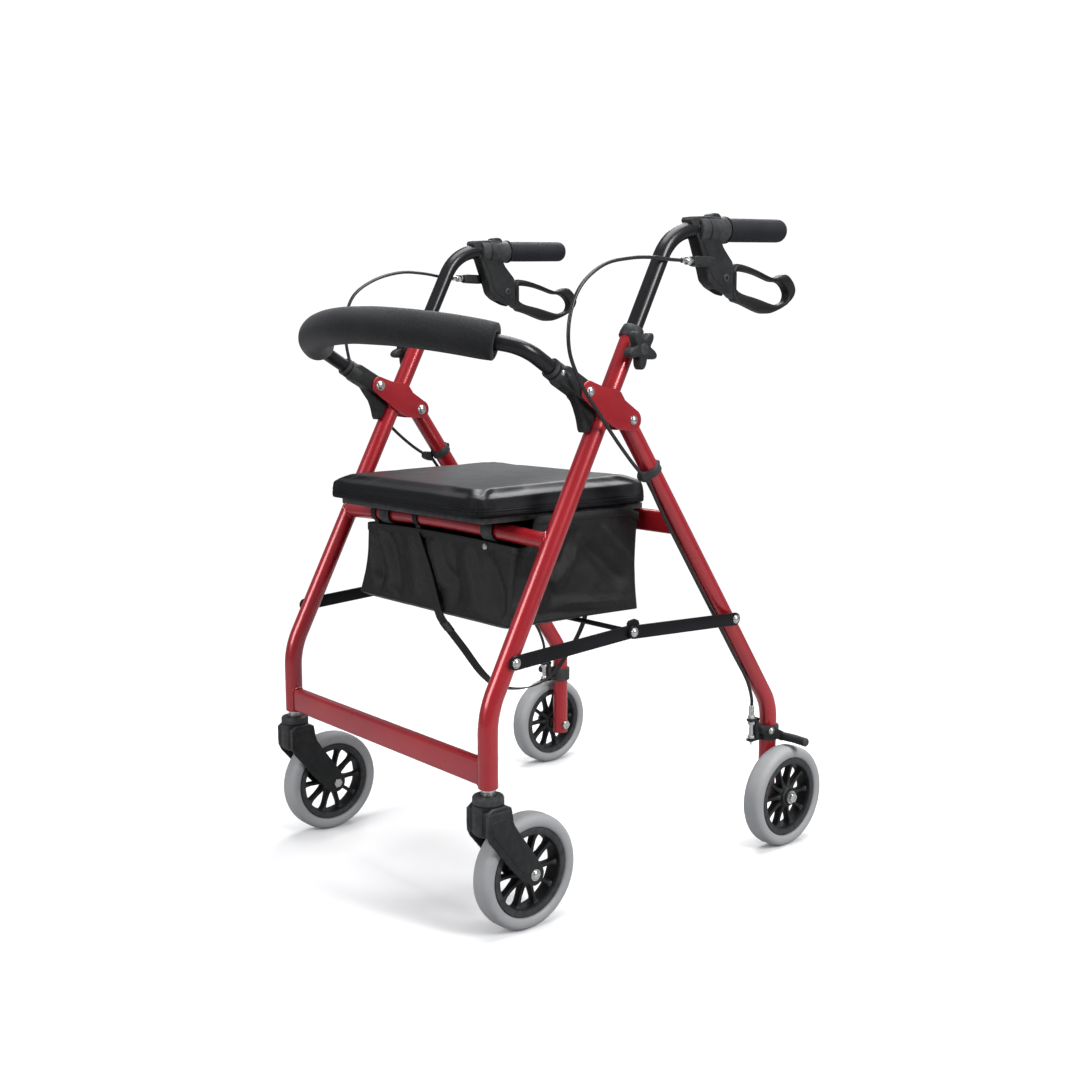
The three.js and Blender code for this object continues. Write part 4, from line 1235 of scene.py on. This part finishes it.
def crossbars():
    crossing()
    y0, y1, z0, z1 = LOWER_BAR
    section = dense(rounded_rect(y0 - 0.4, y1 + 0.4, z0 - 0.2, z1 + 0.4, BAR_CORNER))
    beads = [weld_bead(section, lambda z: STEM_Y, 0, side, LOWER_WELD_R) for _, side in HANDS]
    place("bar_lower", merge(flat_bar(LOWER_BAR), *beads), "front_frame", "red_paint", "lower_crossbar")
    place("bar_rear", flat_bar(REAR_BAR), "rear_frame", "red_paint", "rear_crossbar")


crossbars()
keep("seat_board", 1.2)

# ---- soft goods
SEAT_BOX = ((-180, 180), (23, 337), (520, 552))
SEAT_RISE = (2.0, 5.0)  # how far the top is raised at the front, and how much more at the rear
SEAT_CORNER = 20
BAG_HALF = 177
FOLD_DEPTH = 1.35  # how much deeper the bag's folds are than the heights listed below
LOOP_X = (-150, -45)
LOOP_R = 12.2
LOOP_BAND, STRAP_BAND, SLIDER_BAND = (11, 1.5), (15, 1.6), (21, 4.2)  # width and thickness
STUD, STUD_R = (112, 474), 4.6  # the press stud on the bag's front: x and z
SLIDER = (29, 33)  # the steps of the strap's route that the slider covers
HEM_DROP = 16.5  # from the cross tube's centre line down to the bag's front hem
STRAP_ROUTE = [
    (-42, 89, 474), (-3, 81.5, 424), (36, 72, 371), (38, 77, 362), (44, 103, 326), (50, 136, 281),
    (52, 160, 262), (54, 190, 253), (55, 222, 252), (57, 254, 262), (58, 283, 288), (60, 306, 318),
    (60, 319, 344), (60, 320, 372), (60, 319, 450),
]


def plan(inset, corner, count):
    """A rounded rectangle round the seat, as (x, y) points."""
    (x0, x1), (y0, y1) = [(low + inset, high - inset) for low, high in SEAT_BOX[:2]]
    return dense(rounded_rect(x0, x1, y0, y1, corner, count), 6)


def inflate(o, pinned_below, most):
    """Swells a closed cover by cloth pressure, moving no point further than `most` millimetres."""
    mesh = o.data
    before = [v.co.copy() for v in mesh.vertices]
    group = o.vertex_groups.new(name="held")
    group.add([i for i, c in enumerate(before) if c.z < pinned_below * MM], 1.0, "REPLACE")
    cloth = o.modifiers.new("cloth", "CLOTH")
    for setting, value in (
        ("quality", 4), ("mass", 0.3), ("tension_stiffness", 22), ("compression_stiffness", 22),
        ("bending_stiffness", 0.8), ("use_pressure", True), ("uniform_pressure_force", 4),
        ("vertex_group_mass", "held"),
    ):
        setattr(cloth.settings, setting, value)
    cloth.settings.effector_weights.gravity = 0
    cloth.collision_settings.use_collision = False
    cloth.collision_settings.use_self_collision = False
    cloth.point_cache.frame_start, cloth.point_cache.frame_end = 1, 20
    scene = bpy.context.scene
    for f in range(1, 21):
        scene.frame_set(f)
        swollen = o.evaluated_get(bpy.context.evaluated_depsgraph_get()).data
    after = [v.co.copy() for v in swollen.vertices]
    o.modifiers.remove(cloth)
    scene.frame_set(1)
    for v, c0, c1 in zip(mesh.vertices, before, after):
        step = c1 - c0
        v.co = c0 + step * min(1.0, most * MM / max(step.length, 1e-9))
    mesh.update()


SEAT_RINGS = (  # inset from the seat's outline, and height
    (12, 521), (5, 521), (2.6, 524), (2, 530), (2.2, 539), (4, 544.5), (8, 547.6), (14, 549), (24, 549.6),
)
CROWN, CROWN_SUNK = 5.0, 2.8  # the middle's height over the edge, and how far the edge is let down
CROWN_HALF = (180, 154)
PIPING_Z, PIPING_R = 529, 1.15
VOXEL = 4.5  # the cover's mesh size
PRESSURE_REACH = 6  # the furthest that pressure moves the cover
SEAT_PLEATS = 5.5  # per quarter turn at a corner
PLEAT_CENTRE = 24  # how far in from the sides a corner's pleats start


def seat_cover():
    """The seat's closed cover as one even mesh, swollen by pressure."""
    rings = []
    for inset, z in SEAT_RINGS:
        rings.append([Vector((x, y, z)) for x, y in plan(inset, max(SEAT_CORNER - inset * 0.6, 8), 8)])
    count = min(len(ring) for ring in rings)
    cushion = loft([spaced(ring + [ring[0]], count)[:-1] for ring in rings], sharp=0)
    remesh = cushion.modifiers.new("remesh", "REMESH")
    remesh.mode, remesh.voxel_size = "VOXEL", VOXEL * MM
    bake(cushion)
    inflate(cushion, 523.5, PRESSURE_REACH)
    return cushion


def crown_seat(mesh):
    """Raises the top's middle and rear, and gives the top a slight unevenness."""
    _, (y0, y1), (_, z1) = SEAT_BOX
    for v in mesh.vertices:
        x, y, z = to_stem(v.co)
        across, along = (x / CROWN_HALF[0]) ** 2, ((y - (y0 + y1) / 2) / CROWN_HALF[1]) ** 2
        crown = CROWN * max(0, 1 - across**1.5) * max(0, 1 - along**1.5) - CROWN_SUNK
        ripple = 0.5 * noise.noise(Vector((x / 62, y / 62, 1.7)))
        tilt = SEAT_RISE[0] + SEAT_RISE[1] * (y - y0) / (y1 - y0)
        top = min(z + clamp((z - 540) / 8) * (crown + ripple), z1 + 0.6)
        v.co.z = (top + tilt * clamp((z - 524) / 16)) * MM


def pleat_seat(mesh):
    """Pleats the lower sides at the corners, and presses the piping's groove into the sides."""
    (x0, x1), (y0, y1), _ = SEAT_BOX
    middle = (y0 + y1) / 2
    for v in mesh.vertices:
        x, y, z = to_stem(v.co)
        low = clamp((541 - z) / 10)
        move = Vector((0, 0, 0))
        dx, dy = abs(x) - (x1 - PLEAT_CENTRE), abs(y - middle) - (y1 - middle - PLEAT_CENTRE)
        if dx >= 0 and dy >= 0 and dx + dy > 0:
            angle = math.degrees(math.atan2(dy, dx))
            fan = math.exp(-(((angle - 45) / 34) ** 2))
            pleat = math.sin(angle / 90 * 2 * math.pi * SEAT_PLEATS + (z - 520) * 0.07)
            away = Vector((math.copysign(dx, x), math.copysign(dy, y - middle), 0)).normalized()
            move += away * (fan * low * clamp((z - 520.5) / 2.5) * 0.9 * (pleat - 1))
        edge_x, edge_y = min(x - x0, x1 - x), min(y - y0, y1 - y)
        if min(edge_x, edge_y) < 9 and z > 521.5:
            groove = -1.5 * math.exp(-(((z - PIPING_Z) / 1.5) ** 2))
            wave = 0.35 * math.sin(x / 9.5) * math.sin(y / 8.7) * low
            toward = (math.copysign(1, x), 0, 0) if edge_x < edge_y else (0, math.copysign(1, y - middle), 0)
            move += Vector(toward) * (groove + wave)
        v.co += move * MM
    mesh.update()


def seat_piping(cushion):
    """A thin cord round the seat's side, laid in its groove by rays from outside."""
    middle = sum(SEAT_BOX[1]) / 2
    surface = BVHTree.FromObject(cushion, bpy.context.evaluated_depsgraph_get())
    line = []
    outline = [Vector((x, y, 0)) for x, y in plan(-14, 32, 14)]
    for p in spaced(outline + [outline[0]], 420)[:-1]:
        start = to_frame((p.x, p.y, PIPING_Z))
        aim = to_frame((p.x * 0.72, middle + (p.y - middle) * 0.68, PIPING_Z)) - start
        x, y, _ = to_stem(surface.ray_cast(start, aim.normalized())[0])
        line.append((x, y, PIPING_Z + 0.25 * math.sin(len(line) * 0.23)))
    rings = [circle(spot, PIPING_R, 10) for spot in carried(line + [line[0]])][:-1]
    place("cushion_welt", loft(rings, closed=True, sharp=0), "seat", "vinyl")


def seat_cushion():
    cushion = seat_cover()
    crown_seat(cushion.data)
    finer = cushion.modifiers.new("subdivide", "SUBSURF")
    finer.levels = finer.render_levels = 1
    bake(cushion)
    pleat_seat(cushion.data)
    cushion.data.shade_smooth()
    place("cushion", cushion, "seat", "vinyl", "seat_cushion")
    seat_piping(cushion)


PAD_END_RINGS = (  # radius, and how far beyond the pad's end
    (PAD_R - 0.7, 1.6), (PAD_R - 2.6, 3.0), (PAD_R - 7, 3.5), (14.5, 3.2), (12.4, 2.2), (11.6, -1),
    (11.2, -9),
)


def pad_ring(spot, done, end):
    """A ring of the pad, `done` along it and `end` from its nearer end, with bumps and creases."""
    p, normal, side = spot
    near_end = 1 - 0.05 * math.exp(-end / 5)
    ring = []
    for k in range(64):
        a = 2 * math.pi * k / 64
        d = normal * math.cos(a) + side * math.sin(a)
        bump = 0.5 * noise.noise(Vector((p.x / 46, k / 6.5, p.z / 46)))
        crease = -0.55 * max(0, d.y) * max(0, math.sin(done / 5.2 + 0.7 * noise.noise(p / 30))) ** 3
        ring.append(p + d * (PAD_R * near_end + bump + crease))
    return ring


def pad_end(spot, outward):
    tangent = spot[1].cross(spot[2]) * outward
    return [[q + tangent * d for q in circle(spot, r, 64)] for r, d in PAD_END_RINGS]


def foam_pad():
    spots = carried(pad_arc(90))
    total = length_of([spot[0] for spot in spots])
    done = 0.0
    rings = []
    for before, spot in zip(spots, spots[1:-1]):
        done += (spot[0] - before[0]).length
        rings.append(pad_ring(spot, done, min(done, total - done)))
    pad = loft(pad_end(spots[0], -1)[::-1] + rings + pad_end(spots[-1], 1), sharp=0)
    place("foam_pad", pad, "backrest", "foam", "backrest_pad")


def bag_level(t):
    """The bag from its top hem (t 0) to its bottom edge (t 1): heights, front, rear and half width."""
    bulge = math.sin(math.pi * t)
    z_front, z_rear = 478 - 101 * t, 508 - 136 * t
    front, rear = 93 - 16 * t + 3.0 * bulge, 315 - 2.5 * bulge
    return z_front, z_rear, front, rear, BAG_HALF - 1 - 3.4 * bulge


def ridge(s, z, a, b, width, height):
    """A fold in the cloth: a soft ridge or valley along the line from a to b, strongest in its middle."""
    dx, dz = b[0] - a[0], b[1] - a[1]
    long = math.hypot(dx, dz)
    t = ((s - a[0]) * dx + (z - a[1]) * dz) / long**2
    off = ((s - a[0]) * dz - (z - a[1]) * dx) / long
    fade = max(0.0, 1 - (2 * t - 1) ** 4) if 0 <= t <= 1 else 0.0
    skew = 1.6 if off > 0 else 0.8
    return height * fade * math.exp(-((off / (width * skew)) ** 2))


FRONT_FOLDS = (
    ((-168, 474), (-112, 386), 8, -8.8), ((-150, 480), (-84, 402), 12, 3.0),
    ((-120, 478), (-66, 376), 7, -6.4), ((-70, 480), (-22, 380), 11, 2.6),
    ((-44, 482), (40, 366), 6, -8.4), ((-8, 478), (30, 404), 12, 5.0), ((44, 474), (62, 380), 9, -3.5),
    ((66, 474), (120, 378), 15, 5.2), ((116, 470), (168, 386), 9, -6.8), ((20, 446), (90, 388), 8, -2.4),
    ((-160, 410), (-60, 380), 8, 2.2), ((80, 392), (172, 376), 7, 2.4),
)
SIDE_FOLDS = (
    ((84, 392), (150, 418), 9, 5.4), ((150, 418), (196, 470), 9, 6.0), ((196, 500), (176, 440), 8, -7.2),
    ((110, 470), (164, 400), 9, -3.6), ((164, 400), (300, 384), 8, 3.6), ((210, 478), (290, 410), 12, -4.4),
    ((240, 500), (304, 440), 8, 3.0), ((120, 388), (250, 378), 6, -2.6), ((100, 440), (120, 500), 8, 2.2),
)


def bag_push(s, z, face):
    """How far the cloth stands out at s along a wall and height z."""
    seed = {"front": 3.1, "rear": 9.7, "left": 5.3, "right": 13.9}[face]
    folds = FRONT_FOLDS if face in ("front", "rear") else SIDE_FOLDS
    if face == "rear":
        s = -s
    push = FOLD_DEPTH * sum(ridge(s, z, a, b, 0.78 * width, height) for a, b, width, height in folds)
    broad = 2.4 * noise.noise(Vector((s / 58, z / 44, seed)))
    fine = 0.9 * noise.noise(Vector((s / 21, z / 17, seed + 4)))
    return push + (broad + fine)


BAG_WALLS = (("front", 56), ("left", 38), ("rear", 56), ("right", 38))
BAG_ROWS = 54
BAG_CORNER = 7
CLOTH_THICK = 1.1
BAG_FLOOR = 370.5
BAG_LOWEST = 367.4
FLOOR_INSETS = (0.012, 0.03, 0.06, 0.12, 0.2, 0.3, 0.42, 0.55, 0.68, 0.8, 0.9, 0.96)
STEP_Y = 117  # where the top hem steps up from the cross tube to the rear crossbar's height
SIDE_HEM_RISE = 8.5
HEM = ((-1.9, 1), (-1.2, 2.0), (0.2, 2.2), (1.2, 1.2), (1.3, -8), (0.8, -9.4), (-1.6, -9.4), (-2, -8))


def bag_walls(t):
    """Points round the bag's walls, each as (wall, x, y, the way the wall faces)."""
    _, _, front, rear, half = bag_level(t)
    corners = [(-half, front), (half, front), (half, rear), (-half, rear)]
    for i, (wall, count) in enumerate(BAG_WALLS):
        (x0, y0), (x1, y1) = corners[i], corners[(i + 1) % 4]
        out = Vector((y1 - y0, x0 - x1, 0)).normalized()
        for k in range(1, count + 1):
            yield wall, x0 + (x1 - x0) * k / count, y0 + (y1 - y0) * k / count, out


def bag_height(t, wall, x, y):
    """The height of the wall's point at t: the hem follows the cross tube in front and rises to the rear."""
    z_front, z_rear, front, rear, _ = bag_level(t)
    step = clamp((y - STEP_Y) / 6 + 0.5)
    share = step if t < 0.02 else step * (1 - t) + (y - front) / (rear - front) * t
    z = z_front + (z_rear - z_front) * share
    if wall in ("left", "right"):
        z += SIDE_HEM_RISE * (1 - t) * clamp((y - STEP_Y) / 8) * clamp((306 - y) / 10)
    return z + (cross_height(x) - HEM_DROP - bag_level(0)[0]) * (1 - t) * (1 - step)


def round_corner(x, y, half_x, half_y):
    """Pulls a point of a rectangle in to the rectangle's rounded corner."""
    over_x, over_y = abs(x) - half_x + BAG_CORNER, abs(y) - half_y + BAG_CORNER
    far = math.hypot(over_x, over_y)
    if min(over_x, over_y) <= 0 or far <= BAG_CORNER:
        return x, y
    pull = 1 - BAG_CORNER / far
    return x - math.copysign(over_x * pull, x), y - math.copysign(over_y * pull, y)


def bag_ring(t):
    """The bag's outline at t from its top hem to its bottom edge, with its folds."""
    _, _, front, rear, half = bag_level(t)
    middle = (front + rear) / 2
    hold = min(1, t * 9) * min(1, (1 - t) * 7)
    ring = []
    for wall, x, y, out in bag_walls(t):
        z = bag_height(t, wall, x, y)
        x, y = round_corner(x, y - middle, half, (rear - front) / 2)
        y += middle
        if wall in ("front", "rear"):
            along, edge = x, clamp((half - abs(x)) / 20)
        else:
            along, edge = y, clamp(min(y - front, rear - y) / 18)
        ring.append(Vector((x, y, z)) + out * (bag_push(along, z, wall) * hold * (0.3 + 0.7 * edge)))
    return ring


def floor_ring(edge, inset):
    """A ring of the bag's sagging floor, drawn in from its bottom edge."""
    middle = sum(bag_level(1)[2:4]) / 2
    inner = min(1, inset * 12)
    sag = 2.4 * math.sin(min(inset * 1.9, 1) * math.pi / 2)
    ring = []
    for p in edge:
        x, y = p.x * (1 - inset), middle + (p.y - middle) * (1 - inset)
        ruck = 0.8 * noise.noise(Vector((x / 40, y / 40, 7.7))) * min(1, inset * 8)
        level = BAG_FLOOR * inner + p.z * (1 - inner)
        ring.append(Vector((x, y, max(level - sag + ruck, BAG_LOWEST))))
    return ring


def bag_cloth():
    rings = [bag_ring(i / BAG_ROWS) for i in range(BAG_ROWS + 1)]
    edge = rings[-1]
    rings += [floor_ring(edge, inset) for inset in FLOOR_INSETS]
    bag = loft(rings, caps=False, sharp=0)
    bm = bmesh.new()
    bm.from_mesh(bag.data)
    open_edges = [e for e in bm.edges if e.is_boundary and e.verts[0].co.z < 0.4]
    bmesh.ops.holes_fill(bm, edges=open_edges, sides=0)
    bm.to_mesh(bag.data)
    bm.free()
    face_out(bag.data)
    solid = bag.modifiers.new("thickness", "SOLIDIFY")
    solid.thickness, solid.offset = CLOTH_THICK * MM, -1
    bake(bag)
    bag.data.shade_smooth()
    return place("bag_cloth", bag, "front_frame", "nylon", "bag")


def bag_hem():
    """The webbing bound over the bag's top edge."""
    rim = [p + Vector((0, 0, -1)) for p in bag_ring(0)]
    rings = []
    for i, p in enumerate(rim):
        tangent = (rim[(i + 1) % len(rim)] - rim[i - 1]).normalized()
        out = Vector((tangent.y, -tangent.x, 0)).normalized()
        rings.append([p + out * dx + Vector((0, 0, dz)) for dx, dz in HEM])
    return place("bag_hem", loft(rings, closed=True, sharp=0), "front_frame", "nylon", look=WEBBING)


def bag_loops():
    """The webbing loops that hang the bag on the cross tube."""
    parts = []
    for x in LOOP_X:
        path = [(x, 94.4, 470)]
        for t in np.linspace(math.radians(205), math.radians(-165), 40):
            path.append((x, CROSS_Y + LOOP_R * math.sin(t), cross_height(x) + LOOP_R * math.cos(t)))
        path += [(x, 93.2, 476), (x, 92.2, 468), (x, 90.6, 460)]
        parts.append(band(path, *LOOP_BAND, (1, 0, 0)))
    return place("bag_loops", merge(*parts), "front_frame", "nylon", look=WEBBING)


BAND_SECTION = (
    (-1, -0.5), (-0.97, -1), (-0.5, -1), (0.5, -1), (0.97, -1), (1, -0.5), (1, 0.5), (0.97, 1), (0.5, 1),
    (-0.5, 1), (-0.97, 1), (-1, 0.5),
)


def band(path, width, thickness, across=None):
    """Webbing along a path, lying on its flat side. across fixes the direction of its width."""
    rings = []
    for p, wide, flat in carried(path):
        if across:
            tangent = wide.cross(flat)
            wide = Vector(across)
            wide = (wide - tangent * wide.dot(tangent)).normalized()
            flat = tangent.cross(wide)
        rings.append([p + wide * (u * width / 2) + flat * (v * thickness / 2) for u, v in BAND_SECTION])
    return loft(rings, sharp=50)


def fold_with_frame(*pieces):
    """Gives each piece of cloth its own copy of its mesh."""
    for o in pieces:
        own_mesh(o)


def bag_strap():
    """The bag's strap, and the slider on it."""
    route = spaced(spline(STRAP_ROUTE, 120), 120)
    strap = place("strap", band(route, *STRAP_BAND), "front_frame", "nylon", "bag_strap", look=WEBBING)
    slider = place("strap_slider", band(route[slice(*SLIDER)], *SLIDER_BAND), "front_frame", "black_plastic")
    return strap, slider


def press_stud():
    spot = (STUD[0], bag_level(0.12)[2] - 1, STUD[1])
    profile = [(0, -1), (STUD_R, -1), (STUD_R, 0.8), (STUD_R * 0.8, 2), (0, 2.6)]
    return place("stud_front", lathe(profile, spot, (0, -1, 0), 28), "front_frame", "zinc_bolt")


def soft_goods():
    seat_cushion()
    foam_pad()
    bag, hem = bag_cloth(), bag_hem()
    loops = bag_loops()
    strap, slider = bag_strap()
    fold_with_frame(bag, hem, strap, slider, press_stud())


soft_goods()


# ---- stage
FLOOR_HALF = 9000


def stage():
    """A pale sweep that fades to white away from the object, and four soft lights."""
    corners = [(x, y, 0) for x, y in ((-1, -1), (1, -1), (1, 1), (-1, 1))]
    floor = make([Vector(c) * FLOOR_HALF for c in corners], [(0, 1, 2, 3)])
    floor.name = "floor"
    n = Nodes("floor")
    seen = n.add("ShaderNodeLightPath").outputs["Is Camera Ray"]
    pale = n.mix(n.noise(3, 2), (0.84, 0.84, 0.84), (0.88, 0.88, 0.88))
    colour = n.mix(seen, (0.34, 0.34, 0.35), pale)
    n.finish(colour, n.spread(n.noise(20, 2), 0.6, 0.75), n.bump(n.noise(30, 2), 0.02, 0.001))
    away = n.add("ShaderNodeVectorMath", operation="LENGTH")
    n.link(n.place, away.inputs[0])
    glow = n.add("ShaderNodeEmission", Color=(1, 1, 1, 1), Strength=1.05)
    fade = n.add("ShaderNodeMixShader")
    share = n.maths("MULTIPLY", seen, n.spread(away.outputs["Value"], 0, 1, 0.75, 1.7))
    n.link(share, fade.inputs[0])
    n.link(n.shader.outputs[0], fade.inputs[1])
    n.link(glow.outputs[0], fade.inputs[2])
    n.link(fade.outputs[0], n.tree.nodes["Material Output"].inputs["Surface"])
    floor.data.materials.append(n.material)

    world = bpy.data.worlds.new("world")
    bpy.context.scene.world = world
    world.use_nodes = True
    tree = world.node_tree
    seen = tree.nodes.new("ShaderNodeLightPath").outputs["Is Camera Ray"]
    tone = tree.nodes.new("ShaderNodeMix")
    tone.data_type = "RGBA"
    tone.inputs[6].default_value = (0.26, 0.27, 0.29, 1)
    tone.inputs[7].default_value = (1.05, 1.05, 1.05, 1)
    tree.links.new(seen, tone.inputs[0])
    tree.links.new(tone.outputs[2], tree.nodes["Background"].inputs["Color"])

    for name, spot, size, power, aim in (
        ("key", (2.7, 0.5, 2.1), (0.75, 1.5), 92, (0, 0, 0.45)),
        ("fill", (-0.3, -3.0, 1.7), (1.5, 1.5), 62, (0, 0, 0.45)),
        ("top", (0.0, 0.3, 3.0), (2.0, 2.0), 92, (0, 0, 0)),
        ("back", (-1.7, 2.0, 2.6), (1.6, 0.9), 36, (0, 0, 0.5)),
    ):
        light = bpy.data.lights.new(name, "AREA")
        light.shape, light.size, light.size_y, light.energy = "RECTANGLE", *size, power
        o = bpy.data.objects.new(name, light)
        o.location = spot
        o.rotation_euler = (Vector(aim) - Vector(spot)).to_track_quat("-Z", "Y").to_euler()
        bpy.context.scene.collection.objects.link(o)
    bpy.context.scene.view_settings.view_transform = "Standard"


stage()
